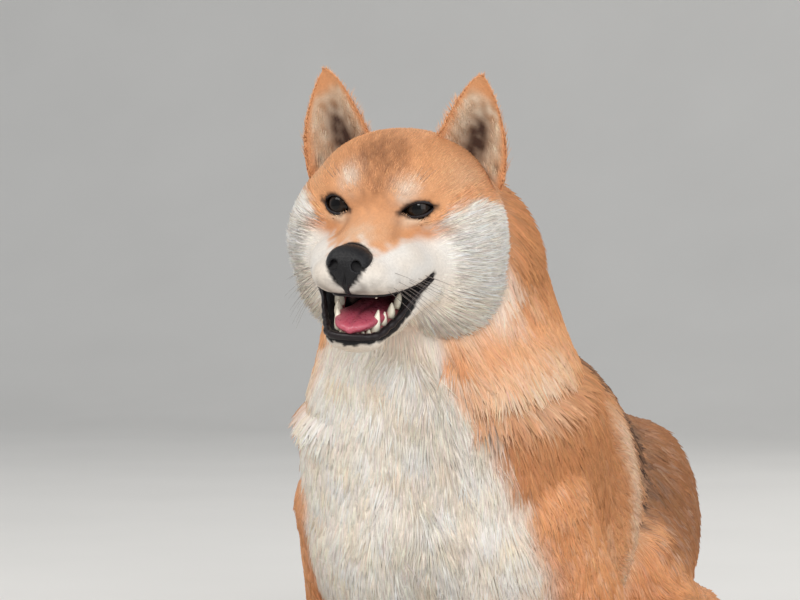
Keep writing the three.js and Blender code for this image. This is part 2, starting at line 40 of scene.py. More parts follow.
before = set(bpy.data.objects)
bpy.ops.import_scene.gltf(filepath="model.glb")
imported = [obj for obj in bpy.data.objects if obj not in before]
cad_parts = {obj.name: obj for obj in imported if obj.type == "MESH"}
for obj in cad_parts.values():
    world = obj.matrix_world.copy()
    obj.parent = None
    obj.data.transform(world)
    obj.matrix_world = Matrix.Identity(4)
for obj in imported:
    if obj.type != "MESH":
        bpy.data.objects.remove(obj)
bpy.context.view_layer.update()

MM = 0.001
HEAD_PLACE = (0, -165, 332)
HEAD_TURN = (4, 3.5, 3)
EYE_RADIUS = 12.5
EYE_PLACE = (24.8, -31, 3)
EYE_TURN = 16
EYE_SLANT = 12
EYE_HALF_WIDTH = 11.3
LIDS = {1: (4.5, 4.2), -1: (6.4, 4.9)}
LID_CURVE = 2.3
SIDES = {1: "left", -1: "right"}

HEAD_ROTATION = np.array(Euler([math.radians(a) for a in HEAD_TURN]).to_matrix(), dtype=np.float32)


# Small helpers
def to_head(p):
    return (p - np.array(HEAD_PLACE, dtype=np.float32)) @ HEAD_ROTATION


def from_head(p):
    return np.asarray(p, dtype=np.float32) @ HEAD_ROTATION.T + np.array(HEAD_PLACE, dtype=np.float32)


def on_left(p):
    """The same places, with those of the right side mirrored to the left."""
    both = p.copy()
    both[:, 0] = np.abs(both[:, 0])
    return both


def step(x, low, high):
    t = np.clip((x - low) / (high - low), 0, 1)
    return t * t * (3 - 2 * t)


def unit(v):
    return v / np.maximum(np.linalg.norm(v, axis=-1, keepdims=True), 1e-9)


def srgb(*c):
    c = np.array(c, dtype=np.float64) / 255
    return np.where(c <= 0.04045, c / 12.92, ((c + 0.055) / 1.055) ** 2.4)


def wave_noise(p, size, seed):
    """Smooth noise between about -1 and 1, from waves that cross at many angles."""
    rng = np.random.default_rng(seed)
    total = np.zeros(len(p), dtype=np.float32)
    for _ in range(7):
        way = unit(rng.normal(size=3)) * rng.uniform(0.7, 1.5) * 2 * math.pi / size
        total += np.sin(p @ way.astype(np.float32) + rng.uniform(0, 6.3))
    return total / 3.2


# Masses of the body
# A mass is stated on the left and read on both sides. Its coat is (depth, length, width, lift, spacing)
# and its flow the way the coat lies.
COATS = {
    "muzzle": (1.0, 3.8, 0.5, 0.13, 0.9),
    "face": (1.6, 5.6, 0.6, 0.16, 0.95),
    "crown": (2.2, 7.6, 0.7, 0.18, 1.02),
    "cheek": (4.0, 12.5, 0.85, 0.16, 1.35),
    "ruff": (6.0, 19.0, 1.1, 0.2, 1.65),
    "neck": (6.5, 22.0, 1.2, 0.17, 1.75),
    "bib": (7.0, 23.0, 1.2, 0.17, 1.78),
    "body": (6.5, 21.0, 1.2, 0.16, 1.82),
    "belly": (5.0, 20.0, 1.5, 0.2, 3.0),
    "upper_leg": (4.0, 15.0, 1.2, 0.15, 2.0),
    "lower_leg": (2.2, 9.0, 0.95, 0.13, 1.75),
    "paw": (1.4, 5.5, 0.8, 0.12, 1.5),
    "tail": (10.0, 33.0, 1.6, 0.26, 1.9),
    "ear": (0.8, 3.8, 0.5, 0.1, 1.0),
}


def ball(coat, centre, radii, blend=20, flow=(0, 1, -0.3)):
    return {"kind": "ball", "a": centre, "r": radii, "blend": blend, "coat": coat, "flow": flow}


def limb(coat, start, end, start_radius, end_radius, blend=20, flow=None):
    flow = flow or tuple(b - a for a, b in zip(start, end))
    return {
        "kind": "limb",
        "a": start,
        "b": end,
        "r": (start_radius, end_radius),
        "blend": blend,
        "coat": coat,
        "flow": flow,
    }


TORSO = [
    ball("body", (0, -10, 116), (92, 150, 119), 30, (0, 1, -0.55)),
    ball("bib", (0, -112, 118), (76, 66, 100), 40, (0, 0.3, -1)),
    ball("bib", (0, -102, 186), (88, 68, 70), 30, (0, 0.3, -1)),
    ball("body", (56, -58, 128), (44, 76, 88), 30, (0.1, 0.6, -1)),
    ball("body", (0, 60, 122), (93, 130, 126), 40, (0, 1, -0.5)),
    ball("body", (54, 162, 104), (46, 90, 82), 30, (0, 1, -0.7)),
    ball("body", (0, 210, 98), (72, 66, 80), 30, (0, 0.5, -1)),
    limb("neck", (0, -58, 190), (0, -104, 290), 96, 79, 40, (0, 0.65, -1)),
]
HEAD = [
    ball("crown", (0, 12, 5), (62, 62, 50), 20),
    ball("face", (0, -13, 14), (45, 35, 31), 16),
    ball("face", (24, -27, 17), (17, 13, 10), 10),
    ball("cheek", (42, 2, -20), (35, 42, 40), 18),
    ball("cheek", (32, -26, -40), (15, 24, 22), 14),
    ball("ruff", (36, 10, -50), (34, 40, 36), 18),
    ball("ruff", (0, 12, -52), (50, 46, 34), 18),
    limb("face", (0, -36, -20), (0, -82, -35), 26.5, 18, 11),
    ball("muzzle", (13, -74, -39), (17, 23, 13), 10),
    ball("muzzle", (23, -50, -33), (18, 26, 17), 12),
]
JAW = [
    limb("muzzle", (29, -36, -50), (12, -74, -77), 12, 8, 8),
    ball("muzzle", (0, -76, -79), (17, 11, 8.5), 8),
    limb("face", (0, -68, -79), (0, -30, -66), 9, 20, 12),
]
FORE = [
    limb("upper_leg", (67, -90, 130), (87, -34, 50), 39, 35, 20, (0.1, 0.5, -1)),
    limb("lower_leg", (86, -40, 31), (66, -172, 24), 32, 22, 14),
    ball("paw", (64, -208, 19), (25, 34, 21), 14, (0, -1, -0.1)),
]
HIND = [
    ball("body", (66, 158, 96), (42, 86, 82), 20, (0, 1, -0.9)),
    ball("upper_leg", (86, 105, 60), (34, 46, 48), 30, (0.1, 0.4, -1)),
    limb("upper_leg", (94, 95, 44), (92, 218, 34), 32, 19, 14),
    limb("lower_leg", (98, 226, 22), (106, 150, 17), 16, 17, 14),
    ball("paw", (108, 118, 17), (23, 34, 18), 12, (0, -1, -0.1)),
]
# Foot, middle of the toes, their height above the floor, distance apart and half height.
TOE_SPREAD = (("fore", 64, -232, 14, 12.5, 15), ("hind", 108, 96, 13, 11, 13))


def toe_places(x, y, spread):
    """Where the four toes of a foot stand, the outer two set back."""
    return [(x + (n - 1.5) * spread, y + (9 if n in (0, 3) else 0)) for n in range(4)]


def toe_masses(which):
    made = []
    for name, x, y, z, spread, height in TOE_SPREAD:
        if name != which:
            continue
        for toe in toe_places(x, y, spread):
            made.append(ball("paw", (*toe, z), (spread * 0.62, 19, height), 3, (0, -1, -0.1)))
    return made


TAIL_ROUTE = (
    (-2, 236, 134),
    (-22, 266, 158),
    (-54, 270, 182),
    (-80, 242, 194),
    (-97, 204, 184),
    (-101, 172, 160),
)
TAIL_RADII = (20, 25, 28, 28, 24, 16)
TAIL = [
    limb("tail", TAIL_ROUTE[i], TAIL_ROUTE[i + 1], TAIL_RADII[i], TAIL_RADII[i + 1], 16)
    for i in range(len(TAIL_ROUTE) - 1)
]


def distance(mass, p):
    a = np.array(mass["a"], dtype=np.float32)
    if mass["kind"] == "ball":
        r = np.array(mass["r"], dtype=np.float32)
        q = (p - a) / r
        near = np.sqrt(np.einsum("ij,ij->i", q, q))
        q /= r
        slope = np.sqrt(np.einsum("ij,ij->i", q, q))
        return near * (near - 1) / np.maximum(slope, 1e-6)
    axis = np.array(mass["b"], dtype=np.float32) - a
    q = p - a
    along = np.clip(q @ axis / (axis @ axis), 0, 1)
    q -= along[:, None] * axis
    r = mass["r"]
    return np.sqrt(np.einsum("ij,ij->i", q, q)) - (r[0] + (r[1] - r[0]) * along)


def soft_min(a, b, blend):
    h = np.maximum(blend - np.abs(a - b), 0) / blend
    return np.minimum(a, b) - h * h * blend / 4


def soft_max(a, b, blend):
    return -soft_min(-a, -b, blend)


def union(masses, p, inset):
    total = np.full(len(p), 1e3, dtype=np.float32)
    for m in masses:
        depth = COATS[m["coat"]][0] * inset
        total = soft_min(total, distance(m, p) + depth, m["blend"])
    return total


# Mouth and eye openings, in the head's frame
GAPE = np.array(
    [(-44, -37), (-53, -43), (-64, -49), (-76, -51.5), (-90, -51), (-120, -46)]
    + [(-120, -81), (-88, -77), (-78, -74.5), (-66, -66), (-54, -54)],
    dtype=np.float32,
)
MOUTH_HALF_WIDTH = 23
MOUTH_TILT = math.radians(16)


def polygon_distance(corners, x, y):
    """Signed distance to a closed outline, negative inside."""
    least = np.full(len(x), 1e6, dtype=np.float32)
    inside = np.zeros(len(x), dtype=bool)
    for (ax, ay), (bx, by) in zip(corners, np.roll(corners, -1, axis=0)):
        ex, ey = bx - ax, by - ay
        t = np.clip(((x - ax) * ex + (y - ay) * ey) / (ex * ex + ey * ey), 0, 1)
        least = np.minimum(least, (x - ax - t * ex) ** 2 + (y - ay - t * ey) ** 2)
        if ay != by:
            inside ^= ((ay > y) != (by > y)) & (x < ex * (y - ay) / ey + ax)
    return np.where(inside, -1, 1) * np.sqrt(least)


def mouth_room(h):
    """The gape between the lips, and the hollow behind them."""
    gape = polygon_distance(GAPE, h[:, 1], h[:, 2])
    along, rise = math.cos(MOUTH_TILT), math.sin(MOUTH_TILT)
    y, z = h[:, 1] + 60, h[:, 2] + 59
    q = np.stack([h[:, 0], y * along + z * rise, z * along - y * rise], 1)
    hollow = distance(ball("muzzle", (0, 0, 0), (MOUTH_HALF_WIDTH, 40, 16)), q.astype(np.float32))
    return soft_min(gape, hollow, 4)


def eye_matrix(side):
    place = Matrix.Translation((EYE_PLACE[0] * side, EYE_PLACE[1], EYE_PLACE[2]))
    turn = Matrix.Rotation(math.radians(EYE_TURN * side), 4, "Z")
    return place @ turn @ Matrix.Rotation(math.radians(-EYE_SLANT * side), 4, "Y")


def lid_height(side, x, above):
    """How far the edge of a lid stands from the line between the corners of the eye."""
    up, down = LIDS[side]
    return np.where(above, up, down) * (1 - np.abs(np.clip(x / EYE_HALF_WIDTH, -1, 1)) ** LID_CURVE)


def in_eye(side, h):
    back = np.array(eye_matrix(side).inverted(), dtype=np.float32)
    return h @ back[:3, :3].T + back[:3, 3]


def eye_carve(side, h):
    """Distance to the socket: the eyeball, and the opening of the lids in front of it."""
    q = in_eye(side, h)
    eyeball = np.linalg.norm(q, axis=1) - EYE_RADIUS - 0.3
    opening = (np.abs(q[:, 2]) - lid_height(side, q[:, 0], q[:, 2] > 0)) * 0.75
    opening = np.maximum(opening, np.abs(q[:, 0]) - EYE_HALF_WIDTH)
    opening = np.maximum(opening, q[:, 1] + 2)
    return np.minimum(eyeball, opening)


# Folds of the face: (centre, radii, depth), pressed in where the depth is positive.
FOLDS = (
    ((15, -46, -1), (7, 9, 9), 1.6),  # inner corner of the eye
    ((26, -44, -9), (13, 8, 3), 0.7),  # under the eye
    ((0, -34, 24), (4, 22, 14), 1.2),  # furrow of the forehead
    ((0, -94, -44), (1.6, 10, 7), 1.6),  # under the nose
)
SWELLS = (
    ((24, -43, 12), (12, 8, 5), 1.3),  # upper lid
    ((26, -43, -5.5), (12, 7, 3), 0.9),  # lower lid
    ((16, -80, -38), (9, 12, 8), 1.0),  # whisker pad
)


def press(h, places):
    total = np.zeros(len(h), dtype=np.float32)
    q0 = np.abs(h[:, 0])
    for (x, y, z), (rx, ry, rz), depth in places:
        d = ((q0 - x) / rx) ** 2 + ((h[:, 1] - y) / ry) ** 2 + ((h[:, 2] - z) / rz) ** 2
        total += depth * np.exp(-d * 1.4)
    return total


COLLAR_DEPTH = 4.5


def collar(p):
    """Height over the line where the ruff of the neck ends on the shoulder."""
    return p[:, 2] - 235.5 - 0.25 * p[:, 1]


def collar_reach(p):
    return step(np.abs(p[:, 0]), 42, 60) * step(p[:, 1], 25, -15)


def field(p, inset=1.0):
    """Distance to the skin, or with inset 0 to the surface of the coat."""
    both = on_left(p).astype(np.float32)
    total = union(TORSO, both, inset)
    fore = union(FORE + toe_masses("fore"), both, inset)
    hind = union(HIND + toe_masses("hind"), both, inset)
    total = soft_min(total, soft_min(fore, hind, 4), 12)
    total = total + COLLAR_DEPTH * inset * np.exp(-((collar(p) / 6) ** 2)) * collar_reach(p)
    rear = p[:, 1] > 100
    if rear.any():
        total[rear] = soft_min(total[rear], union(TAIL, p[rear], inset), 8)
    near = (p[:, 2] > 200) & (p[:, 1] < -20)
    if near.any():
        h = to_head(p[near])
        m = on_left(h)
        skull = union(HEAD, m, inset)
        jaw = union(JAW, m, inset)
        whole = soft_min(skull, jaw, 6)
        whole += press(h, FOLDS) - press(h, SWELLS)
        whole = soft_min(whole, total[near], 5)
        whole = soft_max(whole, -mouth_room(m), 3)
        for side in SIDES:
            whole = soft_max(whole, -eye_carve(side, h), 1.2)
        total[near] = whole
    return np.maximum(total, -p[:, 2])


def slopes(p, function, reach=0.4):
    ways = np.eye(3, dtype=np.float32) * reach
    return unit(np.stack([function(p + w) - function(p - w) for w in ways], 1))


# Surface of a field
def surface(function, axes, smooth=2):
    """Vertices and four-sided faces where a field is zero, on a grid that may be finer in some places."""
    shape = tuple(len(a) for a in axes)
    x, y, z = (np.asarray(a, dtype=np.float32) for a in axes)
    values = np.empty(shape, dtype=np.float32)
    for i in range(shape[0]):
        grid = np.stack(np.meshgrid(x[i : i + 1], y, z, indexing="ij"), -1).reshape(-1, 3)
        values[i] = function(grid).reshape(shape[1:])
    inside = values < 0
    corner = [(i, j, k) for i in (0, 1) for j in (0, 1) for k in (0, 1)]
    cut = [slice(0, -1), slice(1, None)]
    count = sum(inside[cut[i], cut[j], cut[k]].astype(np.int8) for i, j, k in corner)
    cells = np.argwhere((count > 0) & (count < 8))
    index = np.full(count.shape, -1, dtype=np.int64)
    index[tuple(cells.T)] = np.arange(len(cells))
    at = {c: values[tuple((cells + c).T)] for c in corner}
    place = {c: np.stack([line[cells[:, n] + c[n]] for n, line in enumerate((x, y, z))], 1) for c in corner}
    total = np.zeros((len(cells), 3))
    crossings = np.zeros(len(cells))
    for a in corner:
        for axis in range(3):
            if a[axis]:
                continue
            b = tuple(1 if n == axis else v for n, v in enumerate(a))
            va, vb = at[a], at[b]
            crossed = (va < 0) != (vb < 0)
            t = np.where(crossed, va / np.where(crossed, va - vb, 1), 0)[:, None]
            total += np.where(crossed[:, None], place[a] * (1 - t) + place[b] * t, 0)
            crossings += crossed
    points = (total / crossings[:, None]).astype(np.float32)
    faces = []
    for axis in range(3):
        u, v = (axis + 1) % 3, (axis + 2) % 3
        low = [slice(None)] * 3
        high = [slice(None)] * 3
        low[axis], high[axis] = cut
        change = inside[tuple(low)] != inside[tuple(high)]
        edge = np.argwhere(change)
        edge = edge[(edge[:, u] > 0) & (edge[:, v] > 0)]
        edge = edge[(edge[:, u] < shape[u] - 1) & (edge[:, v] < shape[v] - 1)]
        start = inside[tuple(edge.T)]
        ring = []
        for du, dv in ((1, 1), (0, 1), (0, 0), (1, 0)):
            c = edge.copy()
            c[:, u] -= du
            c[:, v] -= dv
            ring.append(index[tuple(c.T)])
        quad = np.stack(ring, 1)
        quad[~start] = quad[~start][:, ::-1]
        faces.append(quad)
    faces = np.concatenate(faces)
    for _ in range(smooth):
        way = slopes(points, function)
        points -= np.clip(function(points), -1.5, 1.5)[:, None] * way * 0.9
    return points, faces


def graded(low, high, edge, fine, coarse, fine_above=True):
    """Grid lines, close together on one side of an edge and wider apart on the other."""
    a = np.arange(low, edge, coarse if fine_above else fine)
    b = np.arange(edge, high, fine if fine_above else coarse)
    return np.concatenate([a, b, [high]])


# Ears
EAR_INNER = (20, 6, 44)
EAR_OUTER = (68, 12, 14)
EAR_TIP = (55.5, 0, 90)
EAR_CUP = 15
EAR_ROUND_TIP = 18
EAR_THICK = 4.0
EAR_TIP_THICK = 2.6


def ear_surface(side, heights=34, across=22):
    """A cupped ear: points, faces, and for each point how far up it is, how far across, and its face."""
    inner, outer, tip = (np.array(c, dtype=np.float64) for c in (EAR_INNER, EAR_OUTER, EAR_TIP))
    ahead = unit(np.cross(outer - inner, tip - inner))
    ahead = -ahead if ahead[1] > 0 else ahead
    out = unit(outer - inner)
    rows, marks = [], []
    for t in 1 - (1 - np.linspace(0, 0.997, heights)) ** 1.25:
        wide = EAR_ROUND_TIP * math.sqrt(1 - t) * t
        a = inner + (tip - inner) * t - out * (-2 * math.sin(math.pi * t) + wide)
        b = outer + (tip - outer) * t + out * (5 * math.sin(math.pi * t) + wide)
        half = np.linalg.norm(b - a) / 2 - 0.8
        middle = (a + b) / 2
        cup = EAR_CUP * (1 - t) ** 0.7
        thick = EAR_THICK + (EAR_TIP_THICK - EAR_THICK) * t
        for face in (1, -1):
            for s in np.linspace(-1, 1, across)[::face]:
                wall = thick * math.sqrt(max(1 - s * s, 0)) / 2
                notch = 5 * math.exp(-(((s - 0.86) / 0.1) ** 2 + ((t - 0.13) / 0.06) ** 2))
                depth = cup * (1 - s * s) - face * wall - notch * 0.4
                rows.append(middle + out * s * half - ahead * depth)
                marks.append((t, s, face))
    points = np.array(rows) * (side, 1, 1)
    ring = 2 * across
    faces = []
    for r in range(heights - 1):
        for c in range(ring):
            d = (c + 1) % ring
            quad = (r * ring + c, r * ring + d, (r + 1) * ring + d, (r + 1) * ring + c)
            faces.append(quad if side > 0 else quad[::-1])
    top = (heights - 1) * ring
    for c in range(across - 1):
        quad = (top + c, top + c + 1, top + ring - 2 - c, top + ring - 1 - c)
        faces.append(quad if side > 0 else quad[::-1])
    up = unit((np.array(EAR_TIP) - (np.array(EAR_INNER) + EAR_OUTER) / 2) * (side, 1, 1))
    return from_head(points), np.array(faces), np.array(marks), HEAD_ROTATION @ up


# What each place of the skin carries
EVERY_MASS = (
    [("body", m) for m in TORSO]
    + [("leg", m) for m in FORE + HIND + toe_masses("fore") + toe_masses("hind")]
    + [("tail", m) for m in TAIL]
    + [("head", m) for m in HEAD + JAW]
)


def coat_at(p):
    """Coat sizes (n, 5), flow (n, 3) and how much of each place is head, body, leg and tail (n, 4)."""
    h = to_head(p)
    mirrored, head = on_left(p), on_left(h)
    sign = np.where(p[:, :1] < 0, -1, 1)
    least = np.full(len(p), 1e3, dtype=np.float32)
    apart = []
    for part, m in EVERY_MASS:
        d = distance(m, {"head": head, "tail": p}.get(part, mirrored))
        apart.append(d)
        least = np.minimum(least, d)
    nose = np.array((0, -97, -34), dtype=np.float32)
    backwards = unit(h - nose) + np.array((0, 0.25, -0.1)) * step(h[:, 1:2], -30, 30)
    backwards = backwards @ HEAD_ROTATION.T
    sizes = np.zeros((len(p), 5))
    flow = np.zeros((len(p), 3))
    parts = np.zeros((len(p), 4))
    names = ("head", "body", "leg", "tail")
    total = np.zeros(len(p))
    for (part, m), d in zip(EVERY_MASS, apart):
        w = np.exp(-(d - least) / 3.0)
        total += w
        sizes += w[:, None] * COATS[m["coat"]]
        parts[:, names.index(part)] += w
        if part == "head":
            flow += w[:, None] * backwards
        else:
            way = unit(np.array(m["flow"], dtype=np.float64))
            own = np.repeat(way[None], len(p), 0)
            if part != "tail":
                own[:, 0] *= sign[:, 0]
            flow += w[:, None] * own
    return sizes / total[:, None], flow, parts / total[:, None]


# Markings
WHITE = srgb(240, 234, 226)
CREAM = srgb(240, 218, 192)
RED = srgb(232, 166, 116)
DEEP = srgb(206, 138, 88)
BROWN = srgb(150, 100, 66)
DARK = srgb(74, 52, 42)
BLACK = srgb(20, 18, 19)
FLESH = srgb(150, 74, 76)
# How high the white of the cheek reaches, by the distance from the middle of the face.
CHEEK_EDGE = ((0, -21), (20, -21), (28, -15), (36, -10), (45, 1), (54, 7), (80, 7))


def lay(colour, over, amount):
    return colour + (over - colour) * np.clip(amount, 0, 1)[:, None]


def spot(h, centre, radii, side=None):
    q = np.abs(h[:, 0]) if side is None else h[:, 0] * side
    x, y, z = centre
    d = ((q - x) / radii[0]) ** 2 + ((h[:, 1] - y) / radii[1]) ** 2 + ((h[:, 2] - z) / radii[2]) ** 2
    return np.exp(-d)


def cheek_white(h, wide, small):
    """How white the muzzle and cheeks are, up to their upper edge and out over the front of the ruff."""
    edge = np.interp(np.abs(h[:, 0]), *zip(*CHEEK_EDGE))
    rear = 22 + 0.3 * np.maximum(-h[:, 2] - 12, 0)
    below = step(edge - h[:, 2] + 2.6 * small + 1.6 * wide, -4.5, 5)
    return below * step(h[:, 1] + 5 * wide + 4 * small, rear + 6, rear - 18)


def head_colours(h, wide, small, red, white, dark):
    """Cream brow spots, a white muzzle and cheeks, and a ticked forehead."""
    colour = np.repeat(red[None], len(h), 0)
    colour = lay(colour, DEEP, 0.35 * step(h[:, 1], -25, 45) + 0.18 * wide + 0.14 * small)
    brow = spot(h, (0, -38, 30), (26, 34, 22))
    colour = lay(colour, DEEP * 0.85, 0.9 * brow * (0.9 + 0.4 * small))
    colour = lay(colour, BROWN, 0.8 * spot(h, (0, -38, 32), (18, 32, 24)) * (1 + 0.6 * small))
    colour = lay(colour, CREAM, 0.25 * spot(h, (46, -4, 20), (14, 26, 14)))
    colour = lay(colour, CREAM, 0.45 * spot(h, (0, -76, -10), (17, 20, 12)) * (0.9 + 0.4 * small))
    pale = cheek_white(h, wide, small)
    colour = lay(colour, white, pale)
    colour = lay(colour, CREAM, 0.35 * pale * (0.4 + 0.5 * wide) + 0.3 * pale * step(h[:, 2], -34, -60))
    for side, centre in ((-1, (17.5, -42, 20)), (1, (20.5, -43, 13.5))):
        brow_spot = 0.85 * spot(h, centre, (7.5, 14, 8.5), side) * (0.85 + 0.3 * small)
        colour = lay(colour, CREAM + (white - CREAM) * 0.4, brow_spot)
    colour = lay(colour, CREAM, 0.6 * spot(h, (25, -46, -5), (9, 9, 4)))
    colour = lay(colour, DEEP, 0.95 * spot(h, (33, -38, -12), (11, 11, 4.5)))
    tear_line = 0.6 * spot(h, (17.5, -51, -4), (3, 8, 6)) + 0.4 * spot(h, (19, -60, -13), (3, 8, 5))
    colour = lay(colour, BROWN, tear_line)
    colour = lay(colour, dark, 0.3 * spot(h, (8, -90, -50), (15, 14, 7)) * (1 + 0.5 * small))
    ticks = spot(h, (0, -92, -46), (15, 12, 6)) + 0.5 * spot(h, (20, -78, -40), (10, 12, 6))
    colour = lay(colour, dark, 0.75 * ticks * step(small, -0.3, 0.7))
    shade = np.zeros(len(h))
    for side in SIDES:
        q = in_eye(side, h)
        over = np.abs(q[:, 2]) - lid_height(side, q[:, 0], q[:, 2] > 0)
        over = np.maximum(over, (np.abs(q[:, 0]) - EYE_HALF_WIDTH) * 0.6)
        shade = np.maximum(shade, step(over, 2.6, 0.8) * (q[:, 1] < -4))
    return lay(colour, dark * 0.5, 0.9 * shade)


def body_colours(p, wide, small, red, white, dark):
    """White bib, a pale fringe to the ruff, red flanks and a dark saddle."""
    x, y, z = p.T
    broad = wave_noise(p, 60, 3)
    streak = wave_noise(p * np.array((1, 0.35, 0.5), dtype=np.float32), 13, 5)
    colour = np.repeat(red[None], len(p), 0)
    fold = collar(p) + 3 * small
    shoulder = step(fold, 12, -24) * step(z, 95, 150) * step(y, 70, 20)
    nape = step(z + 8 * wide, 262, 300)
    fringe = np.exp(-(((fold - 19) / 22) ** 2)) * step(np.abs(x), 30, 60) * step(y, -60, -110)
    colour = lay(colour, CREAM, 0.22 * step(streak, 0.2, 1.0))
    colour = lay(colour, DEEP, (0.85 + 0.2 * wide) * shoulder)
    colour = lay(colour, DEEP, 0.75 * nape)
    colour = lay(colour, BROWN, 0.3 * np.maximum(shoulder, nape))
    # A faint brown line just under the collar is painted shade in the crease where the ruff ends.
    colour = lay(colour, BROWN, 0.15 * np.exp(-(((fold + 5) / 8) ** 2)) * collar_reach(p))
    colour = lay(colour, CREAM, (0.5 + 0.25 * small) * fringe)
    colour = lay(colour, CREAM, 0.55 * np.exp(-(((y - 52) / 17) ** 2)) * step(z, 205, 180))
    colour = lay(colour, BROWN, 0.85 * step(y + 9 * wide, 104, 136))
    centre = 98 - 60 * step(z, 195, 236)
    saddle = np.exp(-(((y - centre + 6 * small) / 27) ** 2)) * step(z + 12 * wide, 70, 130)
    spine = step(z + 6 * wide, 214, 236) * step(y, 5, 55) * step(y, 215, 150)
    colour = lay(colour, dark, np.clip(1.1 * np.maximum(saddle, spine), 0, 0.95) * (0.85 + 0.25 * small))
    half = np.where(x > 0, 57 + 0.42 * (185 - z), 84 + 0.5 * (200 - z)) + 5 * wide + 3 * broad
    bib = step(half - np.abs(x), -8, 8) * step(y + 4 * wide, -50, -88) * step(z + 5 * wide, 262, 244)
    bib = np.maximum(bib, step(z + 7 * wide, 52, 22))
    rump = step(y + 8 * wide, 226, 250) * step(np.abs(x), 46, 26) * step(z, 150, 120)
    bib = np.maximum(bib, rump)
    colour = lay(colour, white, bib)
    colour = lay(colour, CREAM, bib * (0.3 + 0.3 * wide))
    h = to_head(p)
    cheek = 0.7 * cheek_white(h, wide, small) * step(h[:, 2], -84, -58)
    return lay(colour, white + (CREAM - white) * 0.4, cheek)


def leg_colours(p, wide, small, red, white):
    x, y, z = p.T
    colour = np.repeat(red[None], len(p), 0)
    colour = lay(colour, DEEP, 0.45 + 0.4 * wide)
    colour = lay(colour, BROWN, 0.8 * step(y + 9 * wide, 70, 110) * step(z, 50, 110))
    colour = lay(colour, BROWN * 0.6, 0.5 * np.exp(-(((y - 104) / 26) ** 2)) * step(z + 8 * wide, 80, 130))
    inner = step(np.abs(x) - 78 + 6 * wide, 4, -8) * step(z + 8 * wide, 96, 62)
    hind_foot = step(np.abs(y - 96) + 4 * wide, 34, 14) * step(z, 44, 28)
    foot = np.maximum(step(y + 8 * wide, -196, -226), hind_foot)
    return lay(colour, white, np.maximum(inner * 0.85, foot * 0.75) + 0.1 * small)


def tail_colours(p, wide, small, red, white):
    """Red outside with dark hairs, cream inside the curl and at the tip."""
    middle = np.array((-46, 214, 168), dtype=np.float32)
    outside = step(np.linalg.norm(p - middle, axis=1) + 5 * wide, 44, 60)
    colour = lay(np.repeat(white[None], len(p), 0), red, outside)
    colour = lay(colour, BROWN, 0.6 * outside * step(small, -0.3, 0.8))
    return lay(colour, white, step(p[:, 1], 190, 172) * step(p[:, 0], -60, -80))


def ear_colours(ear, small, red, dark):
    """Orange behind and round the edge, cream in front, with painted shade: dark brown in the hollow of the
    cup, deepest low down, and black in the fold by the notch.
    """
    t, s, face = ear.T
    rear = lay(np.repeat(red[None], len(t), 0), DEEP, 0.6 + 0.3 * small)
    front = lay(np.repeat(CREAM[None], len(t), 0), srgb(206, 164, 128), 0.55 + 0.4 * small)
    # The hollow of the cup is painted dark brown, painted shade that is deepest low in the cup.
    hollow = np.exp(-((((s + 0.12) - 0.15 * t) / 0.4) ** 2) - ((t - 0.36) / 0.32) ** 4)
    front = lay(front, dark, (1.15 - 0.6 * step(t, 0.3, 0.7)) * hollow * (0.95 + 0.2 * small))
    # A black spot just inside the notch is painted shadow in its fold.
    front = lay(front, BLACK, 0.85 * np.exp(-(((s - 0.72) / 0.12) ** 2) - ((t - 0.13) / 0.03) ** 2))
    front = lay(front, red, step(np.abs(s), 0.66, 0.9))
    front = lay(front, red, step(t, 0.7, 0.86))
    return np.where(face[:, None] > 0, front, rear)


def markings(p, parts, ear=None):
    """Linear colours of skin and coat alike."""
    look = bpy.context.scene.shiba
    red, white, dark = (np.array(c) for c in (look.red_coat, look.white_coat, look.dark_coat_and_shade))
    wide = wave_noise(p, 26, 1)
    small = wave_noise(p, 9, 2)
    if ear is not None:
        return np.clip(ear_colours(ear, small, red, dark), 0.004, 0.96)
    four = (
        head_colours(to_head(p), wide, small, red, white, dark),
        body_colours(p, wide, small, red, white, dark),
        leg_colours(p, wide, small, red, white),
        tail_colours(p, wide, small, red, white),
    )
    return np.clip(sum(parts[:, i : i + 1] * c for i, c in enumerate(four)), 0.004, 0.96)


# Meshes and materials
def made_mesh(name, points, faces):
    """A mesh from points in millimetres and faces of one number of corners each."""
    mesh = bpy.data.meshes.new(name)
    points = np.asarray(points, dtype=np.float32) * MM
    faces = np.asarray(faces, dtype=np.int32)
    mesh.vertices.add(len(points))
    mesh.vertices.foreach_set("co", points.ravel())
    mesh.loops.add(faces.size)
    mesh.loops.foreach_set("vertex_index", faces.ravel())
    mesh.polygons.add(len(faces))
    sides = faces.shape[1]
    mesh.polygons.foreach_set("loop_start", np.arange(0, faces.size, sides, dtype=np.int32))
    mesh.polygons.foreach_set("loop_total", np.full(len(faces), sides, dtype=np.int32))
    mesh.polygons.foreach_set("use_smooth", np.full(len(faces), True))
    mesh.update(calc_edges=True)
    mesh.validate()
    return mesh


def placed(name, mesh, finish, nodes=()):
    """Puts a finished piece in the scene, riding on the dog."""
    old = bpy.data.objects.get(name)
    if old is not None:
        bpy.data.objects.remove(old)
    piece = bpy.data.objects.new(name, mesh)
    bpy.context.scene.collection.objects.link(piece)
    mesh.materials.append(finish)
    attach(piece, "root")
    if nodes:
        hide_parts(*nodes)
    return piece


def placed_on_head(name, points, faces, finish, slot, nodes=()):
    """Puts a piece in the scene whose points are given in the head's frame."""
    return placed(name, made_mesh(name, from_head(points), faces), finish, nodes)


